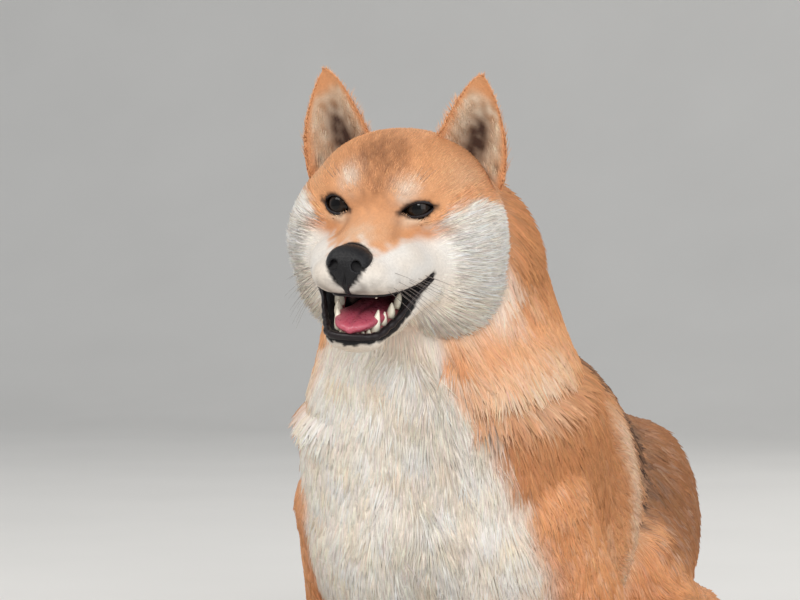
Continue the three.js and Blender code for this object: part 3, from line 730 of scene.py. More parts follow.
def paint(mesh, name, values):
    """Stores one colour or one number for each point."""
    if values.ndim == 2:
        layer = mesh.attributes.new(name, "FLOAT_COLOR", "POINT")
        flat = np.ones((len(values), 4), dtype=np.float32)
        flat[:, :3] = values
        layer.data.foreach_set("color", flat.ravel())
    else:
        layer = mesh.attributes.new(name, "FLOAT", "POINT")
        layer.data.foreach_set("value", values.astype(np.float32))


def joined(parts):
    """Several (points, faces) as one."""
    points, faces, start = [], [], 0
    for p, f in parts:
        points.append(p)
        faces.append(np.asarray(f) + start)
        start += len(p)
    return np.concatenate(points), np.concatenate(faces)


def tube(path, radii, around=8, up=(0, 0, 1)):
    """A tapering tube along a path, closed at both ends by points."""
    path = np.asarray(path, dtype=np.float64)
    radii = np.asarray(radii, dtype=np.float64)
    ahead = unit(np.gradient(path, axis=0))
    side = unit(np.cross(ahead, np.asarray(up, dtype=np.float64)))
    top = np.cross(side, ahead)
    turn = np.linspace(0, 2 * math.pi, around, endpoint=False)
    ring = side[:, None] * np.cos(turn)[None, :, None] + top[:, None] * np.sin(turn)[None, :, None]
    points = (path[:, None] + ring * radii[:, None, None]).reshape(-1, 3)
    rows, faces = len(path), []
    for r in range(rows - 1):
        for c in range(around):
            d = (c + 1) % around
            faces.append((r * around + c, (r + 1) * around + c, (r + 1) * around + d, r * around + d))
    first, last = len(points), len(points) + 1
    points = np.concatenate([points, path[:1], path[-1:]])
    for c in range(0, around, 2):
        d, e = (c + 1) % around, (c + 2) % around
        faces.append((first, c, d, e))
        end = (rows - 1) * around
        faces.append((last, end + e, end + d, end + c))
    return points, np.array(faces)


def bend_path(start, way, length, droop, count=8):
    """Points along a way that bends towards another."""
    t = np.linspace(0, 1, count)[:, None]
    return np.array(start) + unit(np.array(way, dtype=np.float64)) * length * t + np.array(droop) * t * t


def value_group(name, build):
    """A node group with a Scale input and a Value output, built once."""
    group = bpy.data.node_groups.get(name)
    if group is None:
        group = bpy.data.node_groups.new(name, "ShaderNodeTree")
        group.interface.new_socket("Scale", in_out="INPUT", socket_type="NodeSocketFloat")
        group.interface.new_socket("Value", in_out="OUTPUT", socket_type="NodeSocketFloat")
        nodes, links = group.nodes, group.links
        source = nodes.new("NodeGroupInput")
        place = nodes.new("ShaderNodeTexCoord")
        target = nodes.new("NodeGroupOutput")
        value = build(nodes, links, place.outputs["Object"], source.outputs["Scale"])
        links.new(value, target.inputs["Value"])
    return group


def cloudy(nodes, links, place, scale):
    noise = nodes.new("ShaderNodeTexNoise")
    noise.inputs["Detail"].default_value = 4
    links.new(place, noise.inputs["Vector"])
    links.new(scale, noise.inputs["Scale"])
    return noise.outputs["Fac"]


def pebbled(nodes, links, place, scale):
    cells = nodes.new("ShaderNodeTexVoronoi")
    cells.feature = "SMOOTH_F1"
    cells.inputs["Smoothness"].default_value = 0.6
    links.new(place, cells.inputs["Vector"])
    links.new(scale, cells.inputs["Scale"])
    return cells.outputs["Distance"]


def material(name, colours, roughness, bump, attribute=None, cells=False, **constants):
    """colours: two linear colours a fine noise runs between, or two factors on the colour attribute.
    roughness and bump: (low, high) and (noise scale, distance in metres)."""
    name = "shiba_" + name
    made = bpy.data.materials.get(name)
    if made is not None:
        return made
    made = bpy.data.materials.new(name)
    made.use_nodes = True
    nodes, links = made.node_tree.nodes, made.node_tree.links
    shader = nodes["Principled BSDF"]
    for socket, value in constants.items():
        shader.inputs[socket.replace("_", " ")].default_value = value
    noise = nodes.new("ShaderNodeGroup")
    noise.node_tree = value_group("cloudy", cloudy)
    noise.inputs["Scale"].default_value = bump[0] * 0.6
    relief = nodes.new("ShaderNodeGroup")
    relief.node_tree = value_group("pebbled", pebbled) if cells else value_group("cloudy", cloudy)
    relief.inputs["Scale"].default_value = bump[0]
    mix = nodes.new("ShaderNodeMix")
    mix.data_type = "RGBA"
    links.new(noise.outputs["Value"], mix.inputs["Factor"])
    mix.inputs["A"].default_value = (*colours[0], 1)
    mix.inputs["B"].default_value = (*colours[1], 1)
    colour = mix.outputs["Result"]
    if attribute:
        source = nodes.new("ShaderNodeAttribute")
        source.attribute_name = attribute
        times = nodes.new("ShaderNodeMix")
        times.data_type = "RGBA"
        times.blend_type = "MULTIPLY"
        times.inputs["Factor"].default_value = 1
        links.new(source.outputs["Color"], times.inputs["A"])
        links.new(colour, times.inputs["B"])
        colour = times.outputs["Result"]
    links.new(colour, shader.inputs["Base Color"])
    spread = nodes.new("ShaderNodeMapRange")
    spread.inputs["From Min"].default_value = 0.3
    spread.inputs["From Max"].default_value = 0.7
    spread.inputs["To Min"].default_value = roughness[0]
    spread.inputs["To Max"].default_value = roughness[1]
    links.new(noise.outputs["Value"], spread.inputs["Value"])
    links.new(spread.outputs["Result"], shader.inputs["Roughness"])
    rise = nodes.new("ShaderNodeBump")
    rise.inputs["Distance"].default_value = bump[1]
    rise.inputs["Strength"].default_value = 0.7
    links.new(relief.outputs["Value"], rise.inputs["Height"])
    links.new(rise.outputs["Normal"], shader.inputs["Normal"])
    return made


def grey(low, high):
    return (low,) * 3, (high,) * 3


# The skin takes the markings darkened to 0.62 to 0.86 of them: painted shade between the tufts.
def skin_material():
    return material(
        "skin", grey(0.62, 0.86), (0.6, 0.8), (900, 0.0006), "coat_colour", Specular_IOR_Level=0.25
    )


def coat_material():
    return material("coat", grey(0.9, 1.1), (0.6, 0.8), (300, 0.0002), "coat_colour", Specular_IOR_Level=0.2)


def eye_material():
    return material(
        "wet_eye", grey(0.9, 1.1), (0.03, 0.05), (260, 0.00002), "coat_colour", Specular_IOR_Level=0.22
    )


def black_leather():
    two = srgb(9, 8, 10), srgb(22, 21, 23)
    return material("black_leather", two, (0.3, 0.42), (1500, 0.0004), cells=True, Specular_IOR_Level=0.28)


def lip_leather():
    two = srgb(12, 10, 11), srgb(38, 28, 30)
    return material("lip_leather", two, (0.25, 0.45), (500, 0.0005), Specular_IOR_Level=0.25)


# Pieces
def lip_band(h, room):
    """The bare black lip under the gape, broad in front and ragged at its lower edge."""
    rear = step(h[:, 1], -84, -40)
    width = 5.6 + 1.6 * np.sin(math.pi * rear) - 3.6 * rear**3 + 0.8 * wave_noise(h, 5, 31)
    middle = np.interp(h[:, 1], (-90, -44), (-64, -38))
    upper = step(room, 1.9, 0.9)
    lower = step(room, width, width - 1.2) * (h[:, 1] < -38)
    return np.where(h[:, 2] < middle, lower, upper)


def build_skin():
    fine, coarse = ((2.0, 3.4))
    x = np.arange(-136, 136 + fine, fine * 1.1)
    y = graded(-268, 302, -88, fine, coarse, fine_above=False)
    z = graded(-3, 400, 236, fine, coarse)
    points, faces = surface(field, (x, y, z))
    marks = np.zeros((len(points), 3))
    pieces, mark_rows = [(points, faces)], [marks]
    for side in SIDES:
        ear, ear_faces, ear_marks, _ = ear_surface(side)
        pieces.append((ear, ear_faces))
        mark_rows.append(ear_marks)
    points, faces = joined(pieces)
    marks = np.concatenate(mark_rows)
    mesh = made_mesh("skin", points, faces)
    _, _, parts = coat_at(points)
    colour = markings(points, parts)
    is_ear = marks[:, 2] != 0
    colour[is_ear] = markings(points[is_ear], parts[is_ear], marks[is_ear])
    h = on_left(to_head(points))
    near_mouth = (h[:, 1] < -14) & (np.abs(h[:, 2] + 55) < 34) & ~is_ear
    room = np.where(near_mouth, mouth_room(h), 50)
    # Inside the mouth the skin is painted a darker flesh, and blacker towards the throat as painted shade in
    # the depth of the mouth.
    wet = step(-room, -1.2, 0.4)
    colour = lay(colour, FLESH * 0.8, wet)
    colour = lay(colour, BLACK, wet * (0.25 + 0.75 * step(h[:, 1], -66, -30)))
    lip = lip_band(h, room) * ~is_ear
    colour = lay(colour, BLACK * 1.2, np.maximum(lip * (wet < 0.9), 0))
    # The skin behind the nose pad is painted black: the leather's own colour round the pad, and painted shade
    # where it shows through the nostrils.
    nose = np.linalg.norm((h - (0, -88, -32)) / (15.5, 15, 15.5), axis=1)
    behind = step(nose, 1.04, 0.98)
    colour = lay(colour, BLACK, behind)
    wet = np.maximum.reduce([wet, lip, behind])
    paint(mesh, "coat_colour", colour)
    paint(mesh, "bare", np.maximum(wet, 0))
    layer = mesh.attributes.new("ear_mark", "FLOAT_VECTOR", "POINT")
    layer.data.foreach_set("vector", marks.astype(np.float32).ravel())
    nodes = ["torso", "neck", "head", "lower_jaw", "tail"]
    nodes += [f"{n}_{s}" for n in ("ear", "foreleg", "hindleg") for s in SIDES.values()]
    skin = placed("skin", mesh, skin_material(), nodes)
    bpy.ops.object.select_all(action="DESELECT")
    bpy.context.view_layer.objects.active = skin
    skin.select_set(True)
    bpy.ops.object.mode_set(mode="EDIT")
    bpy.ops.mesh.select_all(action="SELECT")
    bpy.ops.uv.smart_project(angle_limit=math.radians(66), island_margin=0.002)
    bpy.ops.object.mode_set(mode="OBJECT")
    mesh.uv_layers[0].name = "OFBake"
    return skin


def read(items, name, width, kind=np.float32):
    """One property of a mesh's points or corners, with a row for each of them."""
    values = np.empty(len(items) * width, dtype=kind)
    items.foreach_get(name, values)
    return values.reshape(-1, width)


def skin_samples(mesh, thickness, rng):
    """Roots of the tufts, none where the skin is bare: place, outward way, place on the unwrap, ear marks and
    whether each lies on an ear.
    """
    count = len(mesh.polygons)
    corners = read(mesh.loops, "vertex_index", 1, np.int32).reshape(count, 4)
    points = read(mesh.vertices, "co", 3) / MM
    normals = read(mesh.vertices, "normal", 3)
    spots = read(mesh.uv_layers["OFBake"].data, "uv", 2).reshape(count, 4, 2)
    marks = read(mesh.attributes["ear_mark"].data, "vector", 3)
    bare = read(mesh.attributes["bare"].data, "value", 1)[:, 0]
    quad = points[corners]
    area = np.linalg.norm(np.cross(quad[:, 2] - quad[:, 0], quad[:, 3] - quad[:, 1]), axis=1) / 2
    sizes, _, _ = coat_at(quad.mean(axis=1))
    ear = marks[corners[:, 0], 2] != 0
    sizes[ear] = COATS["ear"]
    expected = area / sizes[:, 4] ** 2 * thickness * TUFTS_PER_SPACE
    expected[bare[corners].max(axis=1) > 0.05] = 0
    expected[quad[:, :, 2].min(axis=1) < 1.0] = 0
    number = np.floor(expected + rng.random(count)).astype(np.int64)
    pick = np.repeat(np.arange(count), number)
    u, v = rng.random((2, len(pick)))
    weights = np.stack([(1 - u) * (1 - v), u * (1 - v), u * v, (1 - u) * v], 1)
    blend = lambda values: np.einsum("nk,nkd->nd", weights, values)
    c = corners[pick]
    return blend(points[c]), unit(blend(normals[c])), blend(spots[pick]), blend(marks[c]), ear[pick]


def ear_flow(p):
    """Up along each ear from its root."""
    ups = {side: ear_surface(side, 4, 4)[3] for side in SIDES}
    return np.where(p[:, :1] > 0, ups[1], ups[-1])


# A short tuft is a spike on three corners. A long one has a ridge that bends in the middle. Both are closed.
SPIKE_FACES = np.array([(1, 0, 3), (2, 1, 3), (0, 2, 3), (0, 1, 2)])
BENT_FACES = np.array([(1, 0, 4), (2, 1, 3), (3, 1, 4), (0, 2, 3), (0, 3, 4), (0, 1, 2)])
SPIKE_SPOTS = np.array([(-1.4, -1.5), (1.4, -1.5), (0, -1.1), (0, 1.5)]) * 0.001
BENT_SPOTS = np.array([(-1.4, -1.5), (1.4, -1.5), (0, -1.2), (0, 0.2), (0, 1.5)]) * 0.001
SHORT = 8.6  # length in mm under which a tuft is a spike
SHEEN = 0.35  # how much a tuft keeps of its own normals beside those of the skin
TUFTS_PER_SPACE = 1.15  # tufts on each square of a coat's spacing
ROOT_DEPTH = 0.6  # how far in mm a tuft starts under the skin
LOWEST = 0.7  # height in mm at which the tufts lie on the floor
MOST_FACES = 190000  # faces of one piece of the coat


def tuft_sizes(p, marks, ear, parts, sizes):
    """Lengths, lifts and which tufts to keep, round the eyes, nose, lips and in the ears."""
    h = to_head(p)
    sizes[ear] = COATS["ear"]
    fringe = ear & (marks[:, 2] > 0) & (np.abs(marks[:, 1]) > 0.35) & (marks[:, 0] < 0.6)
    sizes[fringe, 1] = 6.5
    sizes[fringe, 3] = 0.3
    q = np.stack([in_eye(s, h) for s in SIDES])
    open_part = np.stack([lid_height(s, e[:, 0], e[:, 2] > 0) for s, e in zip(SIDES, q)])
    beyond = np.maximum(np.abs(q[:, :, 2]) - open_part, np.abs(q[:, :, 0]) - EYE_HALF_WIDTH)
    beyond = np.min(beyond + 20 * (q[:, :, 1] > 0), axis=0)
    nose = np.linalg.norm((h - (0, -88, -31)) / (16, 15, 14.5), axis=1)
    head = on_left(h)
    by_mouth = (h[:, 1] < -30) & (parts[:, 0] > 0.5)
    lips = np.where(by_mouth, mouth_room(head.astype(np.float32)), 50)
    short = np.minimum.reduce([step(beyond, 0.8, 7), step(nose, 0.95, 1.35), step(lips, 0.5, 12)])
    sizes[:, 1] *= 0.45 + 0.55 * short
    sizes[:, 3] *= 0.6 + 0.4 * short
    keep = (beyond > 1.3) & (nose > 1.0) & (lips > 0.8)
    return keep, fringe


def build_coat():
    look = bpy.context.scene.shiba
    skin = bpy.data.objects.get("skin")
    if skin is None:
        raise RuntimeError("The coat grows on the skin, so make the skin first")
    thickness = look.coat_thickness * 1
    rng = np.random.default_rng(5)
    p, n, spots, marks, ear = skin_samples(skin.data, thickness, rng)
    p = p.astype(np.float32)
    sizes, flow, parts = coat_at(p)
    flow[ear] = ear_flow(p[ear])
    keep, fringe = tuft_sizes(p, marks, ear, parts, sizes)
    flow[fringe] += unit(np.stack([-p[fringe, 0], -60 * np.ones(fringe.sum()), 0 * p[fringe, 2]], 1)) * 0.5
    wide = np.stack([wave_noise(p, 34, 10 + i) for i in range(3)], 1)
    close = np.stack([wave_noise(p, 11, 20 + i) for i in range(3)], 1)
    body = 1 - parts[:, :1]
    flow = unit(flow) + wide * (0.08 + 0.12 * body) + close * (0.06 + 0.1 * body)
    flow -= n * np.sum(flow * n, axis=1, keepdims=True)
    flow = unit(unit(flow) + np.cross(n, unit(flow)) * rng.normal(0, 0.09, (len(p), 1)))
    reach = (sizes[:, 1] * rng.uniform(0.7, 1.2, len(p)) * look.coat_length)[:, None]
    lift = (sizes[:, 3] * rng.uniform(0.7, 1.3, len(p)))[:, None]
    way = unit(flow + n * lift)
    across = np.cross(way, n)
    half = (sizes[:, 2] * rng.uniform(0.75, 1.2, len(p)) / 2 / math.sqrt(max(thickness, 0.2)))[:, None]
    root = p - n * ROOT_DEPTH
    middle = root + way * reach * 0.5 + n * reach * 0.03
    tip = root + way * reach - n * reach * 0.06
    base = [root - across * half, root + across * half, root + n * half * 0.8]
    bent = np.stack(base + [middle + n * half * 0.7, tip], 1)
    spike = np.stack(base + [tip], 1)
    colour = markings(p, parts)
    colour[ear] = markings(p[ear], parts[ear], marks[ear])
    tone = rng.normal(1, 0.085 + 0.07 * parts[:, :1]) * (1 + 0.02 * rng.normal(size=(len(p), 3)))
    colour = np.clip(colour * tone, 0.003, 0.95)
    # Each tuft runs from its root, mixed with the pale undercoat and darkened as painted shade deep in the
    # coat, through its own colour to a tip 1.14 times lighter.
    low = lay(colour, CREAM * 0.75, np.full(len(p), 0.2)) * 0.78
    high = np.minimum(colour * 1.14, 0.95)
    region = np.where(parts[:, 0] > 0.5, 0, np.where(parts[:, 3] > 0.5, 3, np.where(parts[:, 2] > 0.5, 2, 1)))
    short = sizes[:, 1] < SHORT
    kinds = (
        ("long", ~short, bent, BENT_FACES, BENT_SPOTS, np.stack([low] * 3 + [colour, high], 1)),
        ("short", short, spike, SPIKE_FACES, SPIKE_SPOTS, np.stack([low] * 3 + [high], 1)),
    )
    for kind, those, corners, faces, patch, shades in kinds:
        corners[:, :, 2] = np.maximum(corners[:, :, 2], LOWEST)
        for which, name in enumerate(("head", "body", "leg", "tail")):
            chosen = np.flatnonzero(keep & those & (region == which))
            if len(chosen) < 50:
                continue
            chosen = chosen[np.argsort(p[chosen, 1], kind="stable")]
            pieces = math.ceil(len(chosen) * len(faces) / MOST_FACES)
            for number, rows in enumerate(np.array_split(chosen, pieces)):
                size = corners.shape[1]
                index = (faces[None] + size * np.arange(len(rows))[:, None, None]).reshape(-1, 3)
                mesh = made_mesh(f"coat_{name}_{kind}_{number + 1}", corners[rows].reshape(-1, 3), index)
                paint(mesh, "coat_colour", shades[rows].reshape(-1, 3))
                place = np.clip(spots[rows][:, None] + patch, 0, 1)
                layer = mesh.uv_layers.new(name="OFBake")
                layer.data.foreach_set("uv", place[:, faces].astype(np.float32).ravel())
                soften(mesh, np.repeat(n[rows] * ~ear[rows, None], size, axis=0))
                placed(mesh.name, mesh, coat_material())


def soften(mesh, outward):
    """Turns the tufts' normals towards those of the skin, so that the coat is lit as one soft surface."""
    own = read(mesh.vertices, "normal", 3)
    mesh.normals_split_custom_set_from_vertices(unit(own * SHEEN + outward * (1 - SHEEN)))


def build_eyes():
    """Dark brown eyes that fill the opening of the lids."""
    look = bpy.context.scene.shiba
    for side, name in SIDES.items():
        bpy.ops.object.select_all(action="DESELECT")
        bpy.ops.mesh.primitive_uv_sphere_add(segments=64, ring_count=48, radius=1)
        start = bpy.context.object
        mesh = start.data
        points = np.array([v.co for v in mesh.vertices], dtype=np.float64)
        angle = np.degrees(np.arccos(np.clip(points[:, 2], -1, 1)))
        bulge = (1 + 0.045 * step(angle, 40, 18))[:, None]
        ahead = (eye_matrix(side).to_3x3() @ Vector((0, -1, 0.04))).normalized()
        turn = np.array(ahead.to_track_quat("Z", "Y").to_matrix())
        where = (points * bulge * EYE_RADIUS * 0.985) @ turn.T + np.array(EYE_PLACE) * (side, 1, 1)
        mesh.vertices.foreach_set("co", (from_head(where) * MM).ravel())
        ray = np.arctan2(points[:, 1], points[:, 0])
        streaks = 0.5 + 0.5 * np.sin(ray * 37 + np.sin(ray * 11) * 2) * np.sin(ray * 23 + 1)
        iris = np.array(look.iris)
        colour = lay(np.repeat(iris[None], len(points), 0), iris * 0.4, 0.7 * streaks)
        colour = lay(colour, srgb(6, 5, 5), step(angle, 16.5, 14.5))
        colour = lay(colour, srgb(10, 7, 6), step(angle, 30, 35))
        colour = lay(colour, srgb(58, 44, 38), step(angle, 44, 60))
        paint(mesh, "coat_colour", colour)
        mesh.polygons.foreach_set("use_smooth", np.full(len(mesh.polygons), True))
        mesh.update()
        bpy.data.objects.remove(start)
        placed(f"eyeball_{name}", mesh, eye_material(), [f"eye_{name}"])


def build_lids():
    """Black rims of the lids, thin and drawn out to a point at both corners."""
    parts = []
    for side in SIDES:
        matrix = np.array(eye_matrix(side))
        for above in (True, False):
            t = np.linspace(-1, 1, 41)
            x = np.sign(t) * (1 - (1 - np.abs(t)) ** 1.35) * (EYE_HALF_WIDTH + 0.9)
            z = lid_height(side, x, above) * (1 if above else -1)
            z += np.where(above, 0.35, -0.35) * (1 - np.abs(t) ** 4)
            reach = EYE_RADIUS + 0.75
            y = -np.sqrt(np.maximum(reach**2 - 0.9 * x**2 - z**2, 30))
            path = np.stack([x, y, z], 1) @ matrix[:3, :3].T + matrix[:3, 3]
            radii = (1.25 if above else 1.0) * (1 - 0.75 * np.abs(t) ** 3)
            parts.append(tube(path, radii, 10, up=(0.2, -1, 0.1)))
    placed_on_head("eyelids", *joined(parts), lip_leather(), "nose_leather")


def nose_field(h):
    """The nose pad with its nostrils, each a round hole that runs out in a curved slit."""
    m = on_left(h)
    total = distance(ball("muzzle", (0, -88, -29.5), (12, 12, 11.5)), m)
    total = soft_min(total, distance(ball("muzzle", (8.2, -88, -31), (7.4, 10.8, 9.5)), m), 6)
    total = soft_min(total, distance(ball("muzzle", (0, -88, -37), (10.5, 11, 8.5)), m), 6)
    total = soft_min(total, distance(limb("muzzle", (0, -93, -41), (0, -90, -48), 4.5, 2.4), m), 6)
    total = total + 0.2
    hole = distance(ball("muzzle", (7.4, -98.6, -31), (3.0, 4.6, 3.3)), m)
    slit = distance(limb("muzzle", (9.4, -98.2, -33.6), (13.4, -94, -32.5), 1.0, 0.5), m)
    slit = np.minimum(slit, distance(limb("muzzle", (13.4, -94, -32.5), (15.4, -89, -29.5), 0.5, 0.35), m))
    groove = distance(limb("muzzle", (0, -101.2, -34), (0, -95, -50), 0.25, 1.1), m)
    total = soft_max(total, -soft_min(hole, slit, 2), 1.2)
    return soft_max(total, -groove, 1.6)


def build_nose():
    pitch = 0.62
    axes = np.arange(-18, 18, pitch), np.arange(-106, -74, pitch), np.arange(-53, -15, pitch)
    placed_on_head("nose_pad", *surface(nose_field, axes), black_leather(), "nose_leather", ["nose"])


TONGUE_FLATNESS = 2.6


def tongue_field(h):
    """A flat tongue with raised sides and a furrow down its middle."""
    middle = -68 + (h[:, 1] + 64) * 0.205
    dish = 1.6 * (h[:, 0] / 14) ** 2 - 1.2 * np.exp(-((h[:, 0] / 2.2) ** 2))
    q = h.copy()
    q[:, 2] = middle + (h[:, 2] - middle - dish) * TONGUE_FLATNESS
    total = distance(limb("muzzle", (0, -20, -59), (0, -64, -68), 14, 15), q)
    total = soft_min(total, distance(limb("muzzle", (0, -64, -68), (0, -76, -70.5), 15, 12.5), q), 10)
    return total / TONGUE_FLATNESS + 0.15


UPPER_GUM = ((24, -36, -42), (19, -60, -45), (12, -78, -47), (0, -84, -47.5))
LOWER_GUM = ((23, -38, -53), (18.5, -55, -66), (13, -69, -75.5), (0, -77, -79))
GUM_RADIUS = 2.9
# Place of the root, lean, height, radius and bend of each tooth.
UPPER_TEETH = (
    ((13, -76, -45), (0.05, -0.1, -1), 8, 2.9, (0, 2, 0)),
    ((2.4, -84, -46), (0, -0.15, -1), 4.5, 1.8, (0, 0, 0)),
    ((6.2, -83, -46), (0.05, -0.15, -1), 5.2, 1.9, (0, 0, 0)),
    ((9.6, -80, -46), (0.1, -0.15, -1), 5, 1.8, (0, 0, 0)),
    ((17, -68, -44.5), (0, 0, -1), 5.5, 2.4, (0, 0, 0)),
    ((19.5, -60, -44), (0, 0, -1), 6.5, 2.9, (0, 0, 0)),
    ((22, -49, -42), (0, 0, -1), 7.5, 4.0, (0, 0, 0)),
)
LOWER_TEETH = (
    ((12, -71, -76), (0.12, -0.2, 1), 16, 3.1, (0, 3, 0)),
    ((2.2, -77, -78.5), (0, -0.2, 1), 5.5, 1.6, (0, 0, 0)),
    ((5.6, -76, -78.5), (0, -0.2, 1), 6, 1.7, (0, 0, 0)),
    ((8.8, -74.5, -78), (0.05, -0.2, 1), 6.5, 1.9, (0, 0, 0)),
    ((15.5, -65, -71), (0.05, 0, 1), 9, 2.3, (0, 0, 0)),
    ((17.8, -58.5, -66.5), (0.05, 0, 1), 10, 3.0, (0, 0, 0)),
    ((20.2, -51, -61), (0.05, 0, 1), 10.5, 3.7, (0, 0, 0)),
    ((22.6, -43, -55), (0.05, 0, 1), 9, 3.6, (0, 0, 0)),
)
TOOTH_PROFILE = (0.9, 1.0, 0.97, 0.86, 0.68, 0.44, 0.16)


def teeth_of(rows):
    parts = []
    for side in SIDES:
        flip = np.array((side, 1, 1))
        for place, lean, height, radius, droop in rows:
            path = bend_path(place * flip, lean * flip, height, droop, len(TOOTH_PROFILE))
            parts.append(tube(path, radius * np.array(TOOTH_PROFILE), 10, up=(0, 1, 0)))
    return parts


def smooth_path(half, count=48):
    """A rounded way through points given for the left side, and back along the right."""
    whole = np.array(list(half) + [(-x, y, z) for x, y, z in half[-2::-1]], dtype=np.float64)
    at = np.linspace(0, 1, len(whole))
    u = np.linspace(0, 1, count)
    path = np.stack([np.interp(u, at, whole[:, i]) for i in range(3)], 1)
    for _ in range(4):
        path[1:-1] = (path[:-2] + 2 * path[1:-1] + path[2:]) / 4
    return path


def lip_line(upper, count=90):
    """Where the gape leaves the face, round the front from one corner of the mouth to the other."""
    turn = np.linspace(-math.radians(128), math.radians(128), count)
    line = GAPE[[0, 1, 2, 3, 4]] if upper else GAPE[[0, 10, 9, 8, 7]]
    order = np.argsort(line[:, 0])
    start = np.array((0, -56))
    way = np.stack([np.sin(turn), -np.cos(turn)], 1)
    found = np.full(count, 4.0)
    for t in np.arange(4, 60, 0.35):
        xy = start + way * t
        z = np.interp(xy[:, 1], line[order, 0], line[order, 1])
        h = np.stack([np.abs(xy[:, 0]), xy[:, 1], z], 1).astype(np.float32)
        inside = soft_min(union(HEAD, h, 1), union(JAW, h, 1), 6) < 0
        found = np.where(inside, t, found)
    xy = start + way * found[:, None]
    z = np.interp(xy[:, 1], line[order, 0], line[order, 1])
    path = np.stack([xy[:, 0], xy[:, 1], z], 1)
    path = path[path[:, 1] < -43.5]
    for _ in range(6):
        path[1:-1] = (path[:-2] + 2 * path[1:-1] + path[2:]) / 4
    return path


def build_mouth():
    pitch = 1.0
    axes = np.arange(-18, 18.5, pitch), np.arange(-92, -6, pitch), np.arange(-82, -50, pitch)
    two = srgb(152, 60, 76), srgb(192, 92, 108)
    wet = material("tongue", two, (0.22, 0.42), (700, 0.0005), Coat_Weight=0.2, Subsurface_Weight=0.1)
    wet.node_tree.nodes["Principled BSDF"].inputs["Subsurface Scale"].default_value = 0.004
    placed_on_head("tongue_flesh", *surface(tongue_field, axes), wet, "tongue", ["tongue"])
    two = srgb(226, 212, 182), srgb(246, 240, 224)
    enamel = material("enamel", two, (0.18, 0.34), (120, 0.0001), Coat_Weight=0.3)
    two = srgb(122, 60, 62), srgb(168, 92, 92)
    gum = material("gum", two, (0.25, 0.45), (400, 0.0004), Coat_Weight=0.35)
    for row, teeth, line in (("upper", UPPER_TEETH, UPPER_GUM), ("lower", LOWER_TEETH, LOWER_GUM)):
        placed_on_head(f"row_teeth_{row}", *joined(teeth_of(teeth)), enamel, "teeth", [f"teeth_{row}"])
        path = smooth_path(line)
        placed_on_head(f"gum_{row}", *tube(path, np.full(len(path), GUM_RADIUS), 12), gum, "tongue")
    parts = []
    for upper, size, drop in ((True, 1.1, 0.3), (False, 2.6, -1.4)):
        path = lip_line(upper) + (0, 0, drop)
        t = np.linspace(-1, 1, len(path))
        scallop = 1 if upper else 1 + 0.14 * np.sin(t * 46) * (np.abs(t) > 0.25)
        radii = size * (1 - 0.5 * np.abs(t) ** 3) * scallop
        parts.append(tube(path, radii, 10))
    placed_on_head("lips", *joined(parts), lip_leather(), "nose_leather")


def build_claws():
    parts = []
    for side in SIDES:
        for _, x, y, z, spread, _ in TOE_SPREAD:
            for toe_x, toe_y in toe_places(side * x, y, spread):
                path = bend_path((toe_x, toe_y - 14, z - 2), (0, -1, -0.12), 13, (0, 0, -6), 7)
                path[:, 2] = np.maximum(path[:, 2], 1.0)
                parts.append(tube(path, (2.4, 2.5, 2.3, 2.0, 1.6, 1.1, 0.4), 8))
    horn = material("horn", (srgb(40, 32, 28), srgb(86, 72, 62)), (0.3, 0.5), (300, 0.0002), Coat_Weight=0.1)
    placed("claws", made_mesh("claws", *joined(parts)), horn)


def build_whiskers():
    rng = np.random.default_rng(3)
    parts = []
    for side in SIDES:
        flip = np.array((side, 1, 1))
        for row in range(4):
            for n in range(4):
                start = (15.5 + 2.4 * n, -84 + 6 * n, -33 - 3.2 * row) * flip
                way = np.array((1, 0.25 + 0.12 * n, -0.12 - 0.1 * row)) + rng.normal(0, 0.08, 3)
                length = 30 + 4 * n + rng.uniform(-4, 6)
                path = bend_path(start, way * flip, length, (2, 12, -10 - 3 * row) * flip, 9)
                parts.append(tube(path, np.linspace(0.21, 0.05, 9), 4))
        for n in range(3):
            way = (0.3 + 0.2 * n, -0.5, 1) * flip
            path = bend_path((24 + 2 * n, -40, 17) * flip, way, 17, (3, 6, 0) * flip, 7)
            parts.append(tube(path, np.linspace(0.2, 0.05, 7), 4))
    hair = material("whisker", (srgb(78, 68, 62), srgb(150, 138, 130)), (0.3, 0.45), (60, 0.0001))
    placed_on_head("whiskers", *joined(parts), hair, "nose_leather")


# Stage
CAMERA_AZIMUTH = 22
CAMERA_PITCH = 0.38
CAMERA_REACH = 1.98
CAMERA_HEIGHT = 0.285
CAMERA_LENS = 135
CAMERA_SENSOR = 36
# Name, place and size in metres, power in watts and colour of each lamp.
LAMPS = (
    ("key", (-1.3, -1.9, 2.3), 1.8, 51, (1, 0.97, 0.93)),
    ("fill", (2.2, -1.6, 1.1), 2.2, 38, (0.97, 0.98, 1)),
    ("rim", (0.9, 2.2, 1.9), 1.6, 24, (1, 0.98, 0.95)),
    ("front", (0.75, -2.06, 1.25), 0.5, 11, (1, 1, 1)),
)
SKY = (0.93, 0.96, 1, 1)
SKY_STRENGTH = 0.52


